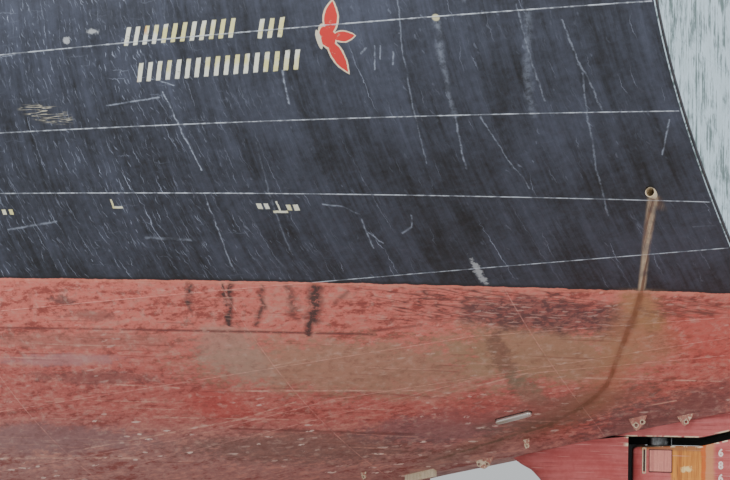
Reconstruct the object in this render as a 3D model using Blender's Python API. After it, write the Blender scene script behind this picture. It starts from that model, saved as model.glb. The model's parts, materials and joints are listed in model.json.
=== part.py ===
"""Stern section of a cargo ship, with its transom, skeg, propeller and rudder.

Metres. x runs aft from the forward face of the closing bulkhead, -y is port and
z is the height over the paint line between the topsides and the underbody. The
plating is real sheet: every strake is a thin closed solid cut on the hull form.
"""

import math

import bmesh
import bpy
from mathutils import Matrix, Vector
from mathutils.bvhtree import BVHTree

# Fits
SEAM = 0.0003  # left between pieces that are welded or bolted together
BEARING_GAP = 0.0004  # left round a shaft or a pintle in its bush
HALF_STEP = 0.5  # turns a round piece so that its corners face the flats of its bore
PAST = 0.2  # a cutting tool runs this far past the faces that it opens
FAR = 1.0  # open sides of a cutting tool, and rays that feel for the hull, start this far off
PORT, STARBOARD = -1.0, 1.0
SIDES = {"port": PORT, "starboard": STARBOARD}

# Hull form
SECTION_LENGTH = 14.57
WEB_BAYS = 6
STATIONS_PER_BAY = 3
DECK_Z = 5.25
DECK_HALF_FORWARD = 9.247
DECK_HALF_AFT = 7.92
DECK_TAPER = 1.70
BOTTOM_AFT_Z = -1.605
BOTTOM_SLOPE = 0.1574
BOTTOM_CURVE = 0.0048
FULLNESS_FORWARD, FULLNESS_AFT = 2.748, 2.19
FLATNESS_FORWARD, FLATNESS_AFT = 1.654, 0.838
PLATE = 0.018
SHELL_ROWS = {"sheer": 3, "upper": 2, "middle": 2, "lower": 2, "waterline": 3, "bilge": 3, "counter": 4}

# Plate seams: share of the length aft of the bulkhead, and the height there
SEAM_A = ((0.0, 2.885), (1.0, 3.275))
SEAM_B = ((0.0, 1.905), (1.0, 2.075))
SEAM_C = ((0.0, 1.190), (1.0, 1.072))
SEAM_D = ((0.0, -0.86), (0.66, 0.07), (1.0, 0.55))
SEAM_E = ((0.0, -2.47), (0.724, -0.66), (1.0, -0.26))
SEAM_G = ((0.0, -3.79), (0.707, -1.215), (1.0, -0.72))

# Flat bottom on the centreline
FLAT_HALF_FORWARD = 1.90
FLAT_HALF_AFT = 0.42
BOTTOM_RUN_X = 8.09
BOTTOM_RUN_Z = -2.737
BOTTOM_RUN_SLOPE = 0.2115

# Ends
BULKHEAD_PLATE = 0.016
TRANSOM_PLATE = 0.018
TRANSOM_SEAMS = (1.09, 3.00)
EDGE_BAR_WIDTH = 0.055
EDGE_BAR_DEPTH = 0.022

# Deck and bulwark
DECK_PLATE = 0.016
BULWARK_HEIGHT = 1.05
BULWARK_PLATE = 0.012
CAP_RAIL_WIDTH = 0.16
CAP_RAIL_PLATE = 0.016
BITT_X = 11.4
BITT_Y = 5.6
BITT_RADIUS = 0.17
BITT_HEIGHT = 0.62
BITT_SPACING = 0.95
BITT_BASE = (1.55, 0.52, 0.03)
BITT_CAP_LIP = 0.035

# Skeg
KEEL_Z = -8.30
SKEG_END_X = 7.50
SKEG_KEEL_HALF_FORWARD = 0.95
SKEG_KEEL_HALF_AFT = 0.24
SKEG_ROWS = 8
SKEG_PLATE = 0.022
SKEG_TAPER = 1.6
FRAME_POST_LENGTH = 0.50
FRAME_POST_MIDDLE, FRAME_POST_SHRINK = 0.55, 0.75
FRAME_POST_EDGE_HALF = 0.10

# Shaft line
SHAFT_Z = -5.60
SHAFT_RADIUS = 0.22
SHAFT_START_X = 6.90
SHAFT_SETBACK = 0.02
BOSS_SETBACK, BOSS_FLARE = 0.02, 0.23
BOSS_ROOT_RADIUS = 0.44
BOSS_RADIUS = 0.56
BOSS_END_RADIUS = 0.54
BOSS_END_X = 8.12
ROPE_GUARD_THICKNESS = 0.016
ROPE_GUARD_LENGTH = 0.13
HUB_START_CLEARANCE = 0.02

# Propeller
PROPELLER_RADIUS = 2.25
BLADES = 4
HUB_LENGTH = 0.95
HUB_RADIUS_FORWARD = 0.46
HUB_RADIUS_AFT = 0.37
HUB_SWELL = 0.02
PITCH = 3.55
BLADE_CHORD = 1.30
BLADE_TIP_CHORD = 0.16
BLADE_ROOT_THICKNESS = 0.17
BLADE_TIP_THICKNESS = 0.022
BLADE_RAKE = 0.20
BLADE_SKEW = 0.42
BLADE_SECTIONS = 8
BLADE_SECTION_STEPS = 7
FIRST_BLADE = 0.35
CAP_LENGTH = 0.48
CAP_STEP_IN = 0.01
CAP_TIP_RADIUS = 0.03
CAP_STEPS = 6

# Rudder, horn and headbox
STOCK_X = 12.20
RUDDER_HALF = 0.42
RUDDER_TOP_Z = -2.15
RUDDER_BOTTOM_Z = -7.90
RUDDER_LEAD_X = 11.05
RUDDER_TAIL_X = 14.45
RUDDER_TAIL_HALF = 0.03
FOIL_EDGE_HALF = 0.02
RUDDER_FULLNESS = 1.7
RUDDER_NOSE_RADIUS = 0.45
RUDDER_GAP = 0.12
HEADBOX_GAP = 0.13
TOP_KNUCKLE_X = 13.0
TOP_RISE = 0.26
HEADBOX_LEAD_X = 11.52
HEADBOX_TAIL_X = 14.30
GUDGEON_TOP_Z = -4.45
GUDGEON_BOTTOM_Z = -5.15
GUDGEON_RADIUS = 0.40
GUDGEON_GAP = 0.10
HORN_HALF = 0.412
HORN_WIDEST_X = 11.2
# Forward edge of the horn, as (x, height) from the hull down
HORN_TOP_X = 9.56
HORN_EDGE = (
    (9.76, -2.51),
    (9.95, -2.60),
    (10.13, -2.77),
    (10.28, -3.5),
    (10.62, GUDGEON_TOP_Z),
    (10.92, GUDGEON_BOTTOM_Z),
)
HORN_SHARES = (0.0, 0.02, 0.08, 0.18, 0.32, 0.48, 0.66, 0.84, 1.0)
BLADE_SHARES = (0.0, 0.015, 0.07, 0.18, 0.36, 0.6, 0.85)
STOCK_RADIUS = 0.20
STOCK_TOP_Z = -0.75
STOCK_SOCKET = 0.95
STOCK_CLEARANCE = 0.006
PINTLE_RADIUS = 0.17
PINTLE_SOCKET = 0.65
PINTLE_HEAD = 0.04
COVER_SIZE = (0.38, 0.36)
COVER_PLATE = 0.014
COVER_CENTRE = (12.36, -2.40)

# Hull fittings
SCUPPER_X, SCUPPER_Z = 13.86, 1.17
SCUPPER_RADIUS = 0.072
SCUPPER_WALL = 0.013
SCUPPER_STAND = 0.05
SCUPPER_INBOARD = 0.30
ANODE_CENTRE = (10.32, -1.76)
ANODE_SIZE = (0.62, 0.13, 0.055)
ANODE_END = 0.6
ANODE_TILT = 0.7
LUG_PLATE = 0.032
LUG_STEPS = 5
# name, sides, centre x, off centreline, top length, depth, foot length, eyes as (along, down, radius)
LUGS = (
    ("lug_double_eye", SIDES, 12.07, 0.74, 0.34, 0.20, 0.14, ((-0.01, 0.115, 0.030), (0.095, 0.062, 0.026))),
    ("lug_headbox", SIDES, 12.79, 0.52, 0.30, 0.15, 0.10, ((0.03, 0.085, 0.024),)),
    ("lug_horn", {"port": PORT}, 10.20, 0.86, 0.12, 0.15, 0.07, ((0.015, 0.105, 0.018),)),
    ("lug_aperture", {"port": PORT}, 9.28, 0.52, 0.38, 0.16, 0.20, ((-0.075, 0.085, 0.024), (0.075, 0.08, 0.024))),
    ("lug_counter", {"port": PORT}, 7.32, 1.14, 0.11, 0.12, 0.06, ((0.01, 0.08, 0.016),)),
)
LEDGE_START_X, LEDGE_LENGTH = 7.84, 0.54
LEDGE_OFF, LEDGE_WIDTH = 0.47, 0.13
LEDGE_DEPTH = 0.10

ROUND_STEPS = 24
EYE_STEPS = 14

MATERIALS = {
    "topside_black": ((0.035, 0.039, 0.047), 0.55, 0.0),
    "antifouling_red": ((0.36, 0.095, 0.075), 0.7, 0.0),
    "transom_grey": ((0.42, 0.48, 0.52), 0.6, 0.0),
    "deck_green": ((0.06, 0.13, 0.10), 0.75, 0.0),
    "bronze": ((0.52, 0.35, 0.14), 0.35, 1.0),
    "steel": ((0.45, 0.45, 0.44), 0.4, 1.0),
    "zinc": ((0.72, 0.72, 0.68), 0.6, 0.3),
}


def seam_z(seam, x):
    """Height at x of a plate seam, straight between its points."""
    share = x / SECTION_LENGTH
    for (start, low), (end, high) in zip(seam, seam[1:]):
        if share <= end:
            break
    return low + (high - low) * (share - start) / (end - start)


def spread(start, end, steps):
    """Evenly spaced positions from start to end, both included."""
    return [start + (end - start) * i / steps for i in range(steps + 1)]


def deck_half(x):
    """Half-breadth of the deck at x."""
    return DECK_HALF_FORWARD - (DECK_HALF_FORWARD - DECK_HALF_AFT) * (x / SECTION_LENGTH) ** DECK_TAPER


def form_bottom(x):
    """Height where the hull form meets the centreline at x."""
    ahead = SECTION_LENGTH - x
    return BOTTOM_AFT_Z - BOTTOM_SLOPE * ahead - BOTTOM_CURVE * ahead**2


def form_powers(x):
    share = x / SECTION_LENGTH
    return (
        FULLNESS_FORWARD + (FULLNESS_AFT - FULLNESS_FORWARD) * share,
        FLATNESS_FORWARD + (FLATNESS_AFT - FLATNESS_FORWARD) * share,
    )


def half_breadth(x, z):
    """Half-breadth of the hull form at station x and height z."""
    full, flat = form_powers(x)
    bottom = form_bottom(x)
    rise = min(max((z - bottom) / (DECK_Z - bottom), 0.0), 1.0)
    return deck_half(x) * (1.0 - (1.0 - rise) ** full) ** (1.0 / flat)


def height_at(x, y):
    """Height of the hull form at station x, a distance y off the centreline."""
    full, flat = form_powers(x)
    bottom = form_bottom(x)
    rise = 1.0 - (1.0 - (y / deck_half(x)) ** flat) ** (1.0 / full)
    return bottom + (DECK_Z - bottom) * rise


def flat_half(x):
    """Half-width of the flat bottom strip, which the skeg widens ahead of the aperture."""
    share = max(1.0 - x / SKEG_END_X, 0.0)
    return FLAT_HALF_AFT + (FLAT_HALF_FORWARD - FLAT_HALF_AFT) * share**SKEG_TAPER


def stations(start, end):
    """Hull stations from start to end; both ends are included."""
    count = WEB_BAYS * STATIONS_PER_BAY
    inner = [SECTION_LENGTH * i / count for i in range(1, count)]
    return [start] + [x for x in inner if start + 0.02 < x < end - 0.02] + [end]


SHELL_START_X = BULKHEAD_PLATE + SEAM
SHELL_STATIONS = stations(SHELL_START_X, SECTION_LENGTH)


def station_bottom(x):
    if x >= BOTTOM_RUN_X:
        return BOTTOM_RUN_Z + BOTTOM_RUN_SLOPE * (x - BOTTOM_RUN_X)
    return height_at(x, flat_half(x))


def bottom_z(x):
    """Height of the flat bottom's outer face at x, straight between stations."""
    for x0, x1 in zip(SHELL_STATIONS, SHELL_STATIONS[1:]):
        if x <= x1:
            break
    share = (x - x0) / (x1 - x0)
    return station_bottom(x0) + (station_bottom(x1) - station_bottom(x0)) * share


def section_normal(x, z):
    """Outward (y, z) normal of the starboard hull form within the section at x."""
    step = 0.004
    slope = (half_breadth(x, z + step) - half_breadth(x, z - step)) / (2 * step)
    length = math.hypot(1.0, slope)
    return 1.0 / length, -slope / length


def skeg_half(x, z):
    """Half-width of the skeg at x and z: narrow at the keel, flared into the flat bottom."""
    share = max(1.0 - x / SKEG_END_X, 0.0)
    keel = SKEG_KEEL_HALF_AFT + (SKEG_KEEL_HALF_FORWARD - SKEG_KEEL_HALF_AFT) * share**SKEG_TAPER
    top = flat_half(x)
    up = (z - KEEL_Z) / (bottom_z(x) - KEEL_Z)
    return keel + (top - keel) * up ** (1.0 + 1.4 * share)


def material(name):
    """The named paint or metal, made on first use."""
    found = bpy.data.materials.get(name)
    if found:
        return found
    colour, roughness, metallic = MATERIALS[name]
    made = bpy.data.materials.new(name)
    made.use_nodes = True
    shader = made.node_tree.nodes["Principled BSDF"]
    shader.inputs["Base Color"].default_value = (*colour, 1.0)
    shader.inputs["Roughness"].default_value = roughness
    shader.inputs["Metallic"].default_value = metallic
    made.diffuse_color = (*colour, 1.0)
    return made


def helper(name, location, parent=None):
    """An empty that marks a datum or a joint's axis."""
    made = bpy.data.objects.new(name, None)
    made.location = location
    made.parent = parent
    bpy.context.scene.collection.objects.link(made)
    return made


def add(name, bm, paint, parent, smooth=None):
    """Makes the closed shape in bm into a named piece whose origin is its parent's."""
    bmesh.ops.recalc_face_normals(bm, faces=bm.faces)
    mesh = bpy.data.meshes.new(name)
    bm.to_mesh(mesh)
    bm.free()
    mesh.transform(Matrix.Translation(-parent.location))
    if paint:
        mesh.materials.append(material(paint))
    if smooth is not None:
        mesh.shade_smooth()
        mesh.set_sharp_from_angle(angle=math.radians(smooth))
    made = bpy.data.objects.new(name, mesh)
    made.parent = parent
    bpy.context.scene.collection.objects.link(made)
    return made


def cut(piece, bm, operation="DIFFERENCE"):
    """Cuts the closed shape in bm out of a piece, or joins it on."""
    tool = add(f"{piece.name}_{operation.lower()}", bm, None, piece.parent)
    tool.hide_render = True
    tool.display_type = "WIRE"
    modifier = piece.modifiers.new(operation.title(), "BOOLEAN")
    modifier.operation = operation
    modifier.object = tool


def split(bm, a, b, c, d, turn=False):
    """Two triangles for the four-sided face a, b, c, d, on the a-c diagonal or the other."""
    if turn:
        a, b, c, d = b, c, d, a
    bm.faces.new((a, b, c))
    bm.faces.new((a, c, d))


def solid_between(outer, inner):
    """Closed solid between two grids of points, listed row by row.

    Its rim is split the same way on facing edges, so that neighbours keep an even gap."""
    bm = bmesh.new()
    rows, columns = len(outer), len(outer[0])
    out = [[bm.verts.new(p) for p in row] for row in outer]
    back = [[bm.verts.new(p) for p in row] for row in inner]
    for i in range(rows - 1):
        for j in range(columns - 1):
            split(bm, out[i][j], out[i + 1][j], out[i + 1][j + 1], out[i][j + 1])
            split(bm, back[i][j], back[i][j + 1], back[i + 1][j + 1], back[i + 1][j])
    for i in range(rows - 1):
        split(bm, out[i][0], back[i][0], back[i + 1][0], out[i + 1][0])
        split(bm, out[i][-1], out[i + 1][-1], back[i + 1][-1], back[i][-1], True)
    for j in range(columns - 1):
        split(bm, out[0][j], out[0][j + 1], back[0][j + 1], back[0][j])
        split(bm, out[-1][j], back[-1][j], back[-1][j + 1], out[-1][j + 1], True)
    return bm


def prism(outline, start, end, axis="z"):
    """Closed prism of an outline of (a, b) points, from start to end along an axis."""
    place = {
        "x": lambda a, b, t: (t, a, b),
        "y": lambda a, b, t: (a, t, b),
        "z": lambda a, b, t: (a, b, t),
    }[axis]
    bm = bmesh.new()
    low = [bm.verts.new(place(a, b, start)) for a, b in outline]
    high = [bm.verts.new(place(a, b, end)) for a, b in outline]
    bm.faces.new(low)
    bm.faces.new(high[::-1])
    for i, _ in enumerate(outline):
        k = (i + 1) % len(outline)
        bm.faces.new((low[i], high[i], high[k], low[k]))
    return bm


def loft(rings):
    """Closed solid through rings of points of equal count, capped at both ends."""
    bm = bmesh.new()
    made = [[bm.verts.new(p) for p in ring] for ring in rings]
    for ring, following in zip(made, made[1:]):
        for i, _ in enumerate(ring):
            k = (i + 1) % len(ring)
            bm.faces.new((ring[i], following[i], following[k], ring[k]))
    bm.faces.new(made[0])
    bm.faces.new(made[-1][::-1])
    return bm


def foil_solid(levels):
    """Solid through foil outlines. Each level lists (x, half-width, z) from nose to tail,
    so that port and starboard points stand opposite each other and caps fold in strips."""
    bm = bmesh.new()
    made = []
    for level in levels:
        made.append([[bm.verts.new((x, side * half, z)) for x, half, z in level] for side in (PORT, STARBOARD)])
    for (port, starboard), (port2, starboard2) in zip(made, made[1:]):
        for i in range(len(port) - 1):
            bm.faces.new((port[i], port2[i], port2[i + 1], port[i + 1]))
            bm.faces.new((starboard[i], starboard[i + 1], starboard2[i + 1], starboard2[i]))
        for i in (0, -1):
            bm.faces.new((port[i], port2[i], starboard2[i], starboard[i]))
    for port, starboard in (made[0], made[-1]):
        for i in range(len(port) - 1):
            bm.faces.new((port[i], starboard[i], starboard[i + 1], port[i + 1]))
    return bm


def circle(radius, centre=(0.0, 0.0), steps=ROUND_STEPS, phase=0.0):
    """Points of a regular outline, turned by a share of one step."""
    return [
        (
            centre[0] + radius * math.cos(2 * math.pi * (i + phase) / steps),
            centre[1] + radius * math.sin(2 * math.pi * (i + phase) / steps),
        )
        for i in range(steps)
    ]


def bearing_radius(radius):
    """Corner radius of a many-sided bore whose flats clear a shaft of this radius all round."""
    return (radius + BEARING_GAP) / math.cos(math.pi / ROUND_STEPS)


def turned_x(profile, phase=0.0):
    """Solid of revolution about the shaft line, from (x, radius) points; ends are discs."""
    return loft(
        [[(x, b, a) for a, b in circle(radius, (SHAFT_Z, 0.0), ROUND_STEPS, phase)] for x, radius in profile]
    )


def ring_x(start, end, outer, inner, z=SHAFT_Z):
    """Tube about the shaft line."""
    rings = []
    for x, radius in ((start, outer), (end, outer), (end, inner), (start, inner)):
        rings.append([(x, b, a) for a, b in circle(radius, (z, 0.0))])
    bm = bmesh.new()
    made = [[bm.verts.new(p) for p in ring] for ring in rings]
    for ring, following in zip(made, made[1:] + made[:1]):
        for i, _ in enumerate(ring):
            k = (i + 1) % len(ring)
            bm.faces.new((ring[i], following[i], following[k], ring[k]))
    return bm


def strake(side, rows, low, high, low_gap=True, high_gap=True):
    """Shell plate between two seams, as the grids of its outer and inner faces."""
    outer, inner = [], []
    for x in SHELL_STATIONS:
        bottom, top = low(x), high(x)
        out_row, in_row = [], []
        for j in range(rows + 1):
            z = bottom + (top - bottom) * j / rows
            ny, nz = section_normal(x, z)
            if j == 0 and low_gap:
                z += SEAM / 2 * ny
            if j == rows and high_gap:
                z -= SEAM / 2 * ny
            y = half_breadth(x, z)
            out_row.append((x, side * y, z))
            in_row.append((x, side * (y - PLATE * ny), z - PLATE * nz))
        outer.append(out_row)
        inner.append(in_row)
    return outer, inner


def build_shell(root):
    """Seven strakes a side. The lowest one ends on the flat bottom strip."""
    deck_edge = DECK_Z - DECK_PLATE - SEAM
    seams = [lambda x, s=s: seam_z(s, x) for s in (SEAM_G, SEAM_E, SEAM_D, SEAM_C, SEAM_B, SEAM_A)]
    bounds = [bottom_z, *seams, lambda x: deck_edge]
    names = ("counter", "bilge", "waterline", "lower", "middle", "upper", "sheer")
    plates = {}
    for tag, side in SIDES.items():
        for i, name in enumerate(names):
            outer, inner = strake(
                side,
                SHELL_ROWS[name],
                bounds[i],
                bounds[i + 1],
                low_gap=i > 0,
                high_gap=i < len(names) - 1,
            )
            if i == 0:
                for out_row, in_row in zip(outer, inner):
                    x, _, z = out_row[0]
                    y = side * (flat_half(x) + SEAM)
                    out_row[0] = (x, y, z)
                    in_row[0] = (x, y, z + PLATE)
            if i == len(names) - 1:
                for out_row, in_row in zip(outer, inner):
                    x, y, z = out_row[-1]
                    in_row[-1] = (x, y - side * PLATE, z)
            paint = "topside_black" if i > 2 else "antifouling_red"
            plates[name, tag] = add(f"{name}_strake_{tag}", solid_between(outer, inner), paint, root, 30)
    return plates


def build_bottom(root):
    """Flat bottom strip, bored for the rudder stock."""
    outer = [
        [(x, side * flat_half(x), bottom_z(x)) for side in (PORT, STARBOARD)] for x in SHELL_STATIONS
    ]
    inner = [[(x, y, z + PLATE) for x, y, z in row] for row in outer]
    piece = add("centre_bottom_strake", solid_between(outer, inner), "antifouling_red", root, 30)
    bore = circle(STOCK_RADIUS + STOCK_CLEARANCE, (STOCK_X, 0.0))
    cut(piece, prism(bore, bottom_z(STOCK_X) - PAST, bottom_z(STOCK_X) + PAST))


def section_points(x, low, high, rows=14):
    """(y, z) points of the starboard section at x between two heights, low to high."""
    points = []
    for j in range(rows + 1):
        z = low + (high - low) * j / rows
        points.append((half_breadth(x, z), z))
    return points


def mirrored(points):
    """Closed outline of a starboard half and its port mirror image."""
    return points + [(-y, z) for y, z in reversed(points)]


def build_ends(root):
    """Closing bulkhead forward and the transom aft."""
    start = SHELL_STATIONS[0]
    skeg = [(SKEG_KEEL_HALF_FORWARD, KEEL_Z)]
    for j in range(1, SKEG_ROWS):
        z = KEEL_Z + (bottom_z(start) - KEEL_Z) * j / SKEG_ROWS
        skeg.append((skeg_half(start, z), z))
    hull = [(flat_half(start), bottom_z(start))] + section_points(start, bottom_z(start), DECK_Z, 20)[1:]
    bm = prism(mirrored(skeg + hull), 0.0, BULKHEAD_PLATE, "x")
    add("forward_bulkhead", bm, "topside_black", root)

    levels = (bottom_z(SECTION_LENGTH), *TRANSOM_SEAMS, DECK_Z)
    aft = SECTION_LENGTH + SEAM
    for i, name in enumerate(("lower", "middle", "upper")):
        low = levels[i] + (SEAM / 2 if i else 0.0)
        high = levels[i + 1] - (SEAM / 2 if i < 2 else 0.0)
        half = section_points(SECTION_LENGTH, low, high, 8)
        if i == 0:
            half[0] = (flat_half(SECTION_LENGTH), low)
        bm = prism(mirrored(half), aft, aft + TRANSOM_PLATE, "x")
        add(f"transom_{name}_plate", bm, "transom_grey", root)

    back = aft + TRANSOM_PLATE + SEAM
    for tag, side in SIDES.items():
        low = seam_z(SEAM_G, SECTION_LENGTH)
        edge = section_points(SECTION_LENGTH, low, DECK_Z, 16)
        outer, inner = [], []
        for y, z in edge:
            ny, nz = section_normal(SECTION_LENGTH, min(z, DECK_Z - 0.01))
            near = (side * y, z)
            far = (side * (y - EDGE_BAR_WIDTH * ny), z - EDGE_BAR_WIDTH * nz)
            if z == edge[-1][1]:
                far = (side * (y - EDGE_BAR_WIDTH), z)
            outer.append([(back, *near), (back, *far)])
            inner.append([(back + EDGE_BAR_DEPTH, *near), (back + EDGE_BAR_DEPTH, *far)])
        add(f"transom_edge_bar_{tag}", solid_between(outer, inner), "topside_black", root)


def build_deck(root):
    """Deck plate, bulwarks with their cap rails, and the mooring bitts."""
    edge = [(x, deck_half(x)) for x in SHELL_STATIONS]
    outline = edge + [(x, -y) for x, y in reversed(edge)]
    add("main_deck", prism(outline, DECK_Z - DECK_PLATE, DECK_Z), "deck_green", root)

    foot = DECK_Z + SEAM
    top = DECK_Z + BULWARK_HEIGHT
    for tag, side in SIDES.items():
        rings = []
        for x, y in edge:
            profile = (
                (y, foot),
                (y, top),
                (y - CAP_RAIL_WIDTH, top),
                (y - CAP_RAIL_WIDTH, top - CAP_RAIL_PLATE),
                (y - BULWARK_PLATE, top - CAP_RAIL_PLATE),
                (y - BULWARK_PLATE, foot),
            )
            rings.append([(x, side * across, z) for across, z in profile])
        add(f"bulwark_{tag}", loft(rings), "topside_black", root)
    aft = SECTION_LENGTH + SEAM
    half = deck_half(SECTION_LENGTH)
    back = aft + TRANSOM_PLATE
    plate = [(aft, foot), (back, foot), (back, top), (aft, top)]
    piece = add("bulwark_aft", prism(plate, -half, half, "y"), "transom_grey", root)
    lead, seat = aft - CAP_RAIL_WIDTH, aft + TRANSOM_PLATE / 2
    rail = [(lead, top - CAP_RAIL_PLATE), (lead, top), (seat, top), (seat, top - CAP_RAIL_PLATE)]
    inner_half = half - CAP_RAIL_WIDTH - SEAM
    cut(piece, prism(rail, -inner_half, inner_half, "y"), "UNION")

    length, width, base = BITT_BASE
    for tag, side in SIDES.items():
        y = side * BITT_Y
        box = [
            (BITT_X - length / 2, y - width / 2),
            (BITT_X + length / 2, y - width / 2),
            (BITT_X + length / 2, y + width / 2),
            (BITT_X - length / 2, y + width / 2),
        ]
        piece = add(f"mooring_bitts_{tag}", prism(box, foot, foot + base), "topside_black", root)
        for end in (-0.5, 0.5):
            centre = (BITT_X + end * BITT_SPACING, y)
            lip = BITT_HEIGHT - 2 * BITT_CAP_LIP
            levels = (
                (base / 2, 0.0),
                (lip, 0.0),
                (lip + BITT_CAP_LIP, BITT_CAP_LIP),
                (BITT_HEIGHT, BITT_CAP_LIP),
            )
            rings = [
                [(a, b, foot + up) for a, b in circle(BITT_RADIUS + wider, centre, 16)] for up, wider in levels
            ]
            cut(piece, loft(rings), "UNION")


def build_skeg(root):
    """Skeg sides, keel plate and the stern frame with its boss."""
    ends = stations(SHELL_START_X, SKEG_END_X - SEAM)
    keel_top = KEEL_Z + SKEG_PLATE
    for tag, side in SIDES.items():
        outer, inner = [], []
        for x in ends:
            low, high = keel_top + SEAM, bottom_z(x) - SEAM
            out_row, in_row = [], []
            for j in range(SKEG_ROWS + 1):
                z = low + (high - low) * j / SKEG_ROWS
                y = skeg_half(x, z)
                out_row.append((x, side * y, z))
                in_row.append((x, side * (y - SKEG_PLATE), z))
            outer.append(out_row)
            inner.append(in_row)
        add(f"skeg_side_{tag}", solid_between(outer, inner), "antifouling_red", root, 30)

    post_end = SKEG_END_X + FRAME_POST_LENGTH
    keel = [(x, skeg_half(x, keel_top)) for x in ends] + [(post_end, FRAME_POST_EDGE_HALF)]
    outline = keel + [(x, -y) for x, y in reversed(keel)]
    add("skeg_keel_plate", prism(outline, KEEL_Z, keel_top), "antifouling_red", root)

    rings = []
    low = keel_top + SEAM
    middle = SKEG_END_X + FRAME_POST_MIDDLE * FRAME_POST_LENGTH
    for j in range(SKEG_ROWS + 1):
        points = []
        for x in (SKEG_END_X, middle, post_end):
            z = low + (bottom_z(x) - SEAM - low) * j / SKEG_ROWS
            half = skeg_half(SKEG_END_X, min(z, bottom_z(SKEG_END_X)))
            if x == middle:
                half *= FRAME_POST_SHRINK
            if x == post_end:
                half = FRAME_POST_EDGE_HALF
            points.append((x, half, z))
        rings.append([(x, -half, z) for x, half, z in points] + [(x, half, z) for x, half, z in reversed(points)])
    piece = add("stern_frame", loft(rings), "antifouling_red", root, 30)
    boss = (
        (SKEG_END_X + BOSS_SETBACK, BOSS_ROOT_RADIUS),
        (SKEG_END_X + BOSS_SETBACK + BOSS_FLARE, BOSS_RADIUS),
        (BOSS_END_X, BOSS_END_RADIUS),
    )
    cut(piece, turned_x(boss), "UNION")
    bore = bearing_radius(SHAFT_RADIUS)
    cut(piece, turned_x(((SKEG_END_X - PAST, bore), (BOSS_END_X + PAST, bore))))

    start = BOSS_END_X + SEAM
    bm = ring_x(start, start + ROPE_GUARD_LENGTH, BOSS_END_RADIUS, BOSS_END_RADIUS - ROPE_GUARD_THICKNESS)
    add("rope_guard", bm, "antifouling_red", root, 30)


def hub_start():
    return BOSS_END_X + HUB_START_CLEARANCE


def blade_rings(turn):
    """Rings of one blade, from inside the hub out to the tip, turned about the shaft."""
    middle = hub_start() + HUB_LENGTH / 2
    rings = []
    for i in range(BLADE_SECTIONS + 1):
        share = i / BLADE_SECTIONS
        radius = HUB_RADIUS_AFT * 0.7 + (PROPELLER_RADIUS - HUB_RADIUS_AFT * 0.7) * share
        width = math.sqrt(max(1.0 - (abs(share - 0.58) / 0.62) ** 2.4, 0.0))
        chord = max(BLADE_CHORD * width, BLADE_TIP_CHORD)
        thick = BLADE_ROOT_THICKNESS + (BLADE_TIP_THICKNESS - BLADE_ROOT_THICKNESS) * share**0.8
        pitch_angle = math.atan2(PITCH, 2 * math.pi * radius)
        if radius < HUB_RADIUS_FORWARD:
            chord = min(chord, HUB_LENGTH * 0.8 / math.sin(pitch_angle))
        skew = BLADE_SKEW * share**2
        ring = []
        steps = BLADE_SECTION_STEPS
        for k in range(2 * steps):
            across = k / steps if k < steps else 2 - k / steps
            face = 1 if k < steps else -1
            u = (across - 0.5) * chord
            v = face * thick / 2 * math.sin(math.pi * min(max(across, 0.0), 1.0)) ** 0.7
            if k in (0, steps):
                v = 0.0
            ahead = u * math.sin(pitch_angle) + v * math.cos(pitch_angle)
            around = (u * math.cos(pitch_angle) - v * math.sin(pitch_angle)) / radius
            angle = turn + skew - around
            x = middle - ahead + BLADE_RAKE * share
            ring.append((x, radius * math.sin(angle), SHAFT_Z + radius * math.cos(angle)))
        rings.append(ring)
    return rings


def build_propeller(axis):
    """Right-handed fixed-pitch propeller on its shaft, with the cap over the nut."""
    start = hub_start()
    end = start + HUB_LENGTH
    hub = (
        (start, HUB_RADIUS_FORWARD),
        (start + HUB_LENGTH / 2, (HUB_RADIUS_FORWARD + HUB_RADIUS_AFT) / 2 + HUB_SWELL),
        (end, HUB_RADIUS_AFT),
    )
    piece = add("propeller_casting", turned_x(hub), "bronze", axis, 35)
    for i in range(BLADES):
        cut(piece, loft(blade_rings(2 * math.pi * (i + FIRST_BLADE) / BLADES)), "UNION")
    bore = SHAFT_RADIUS + SEAM
    cut(piece, turned_x(((start - PAST, bore), (end + PAST, bore)), HALF_STEP))

    shaft = ((SHAFT_START_X, SHAFT_RADIUS), (end - SHAFT_SETBACK, SHAFT_RADIUS))
    add("propeller_shaft", turned_x(shaft, HALF_STEP), "steel", axis, 35)

    nose = []
    for turn in spread(0.0, math.pi / 2, CAP_STEPS):
        radius = max((HUB_RADIUS_AFT - CAP_STEP_IN) * math.cos(turn), CAP_TIP_RADIUS)
        nose.append((end + SEAM + CAP_LENGTH * math.sin(turn), radius))
    add("propeller_cap", turned_x(nose), "bronze", axis, 35)


def foil_half(x, lead, tail):
    """Half-width of the rudder's foil at x, widest at the stock."""
    if x < STOCK_X:
        share = min((STOCK_X - x) / (STOCK_X - lead), 1.0)
        return max(RUDDER_HALF * math.sqrt(1.0 - share**2), FOIL_EDGE_HALF)
    share = (x - STOCK_X) / (tail - STOCK_X)
    return RUDDER_TAIL_HALF + (RUDDER_HALF - RUDDER_TAIL_HALF) * (1.0 - share**RUDDER_FULLNESS)


def top_line(x, level):
    """Height at x of the line that runs level over the rudder and rises aft of its knuckle."""
    return level + TOP_RISE * max(x - TOP_KNUCKLE_X, 0.0)


def nose_cut(radius):
    """Outline of all that lies forward of a round nose about the stock."""
    arc = [
        (STOCK_X - radius * math.cos(a), radius * math.sin(a))
        for a in (math.pi / 2 * (i / 8 - 1) for i in range(17))
    ]
    wide = RUDDER_HALF + FAR
    ahead = RUDDER_LEAD_X - FAR
    return [(ahead, -wide), (STOCK_X, -wide), *arc, (STOCK_X, wide), (ahead, wide)]


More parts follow.
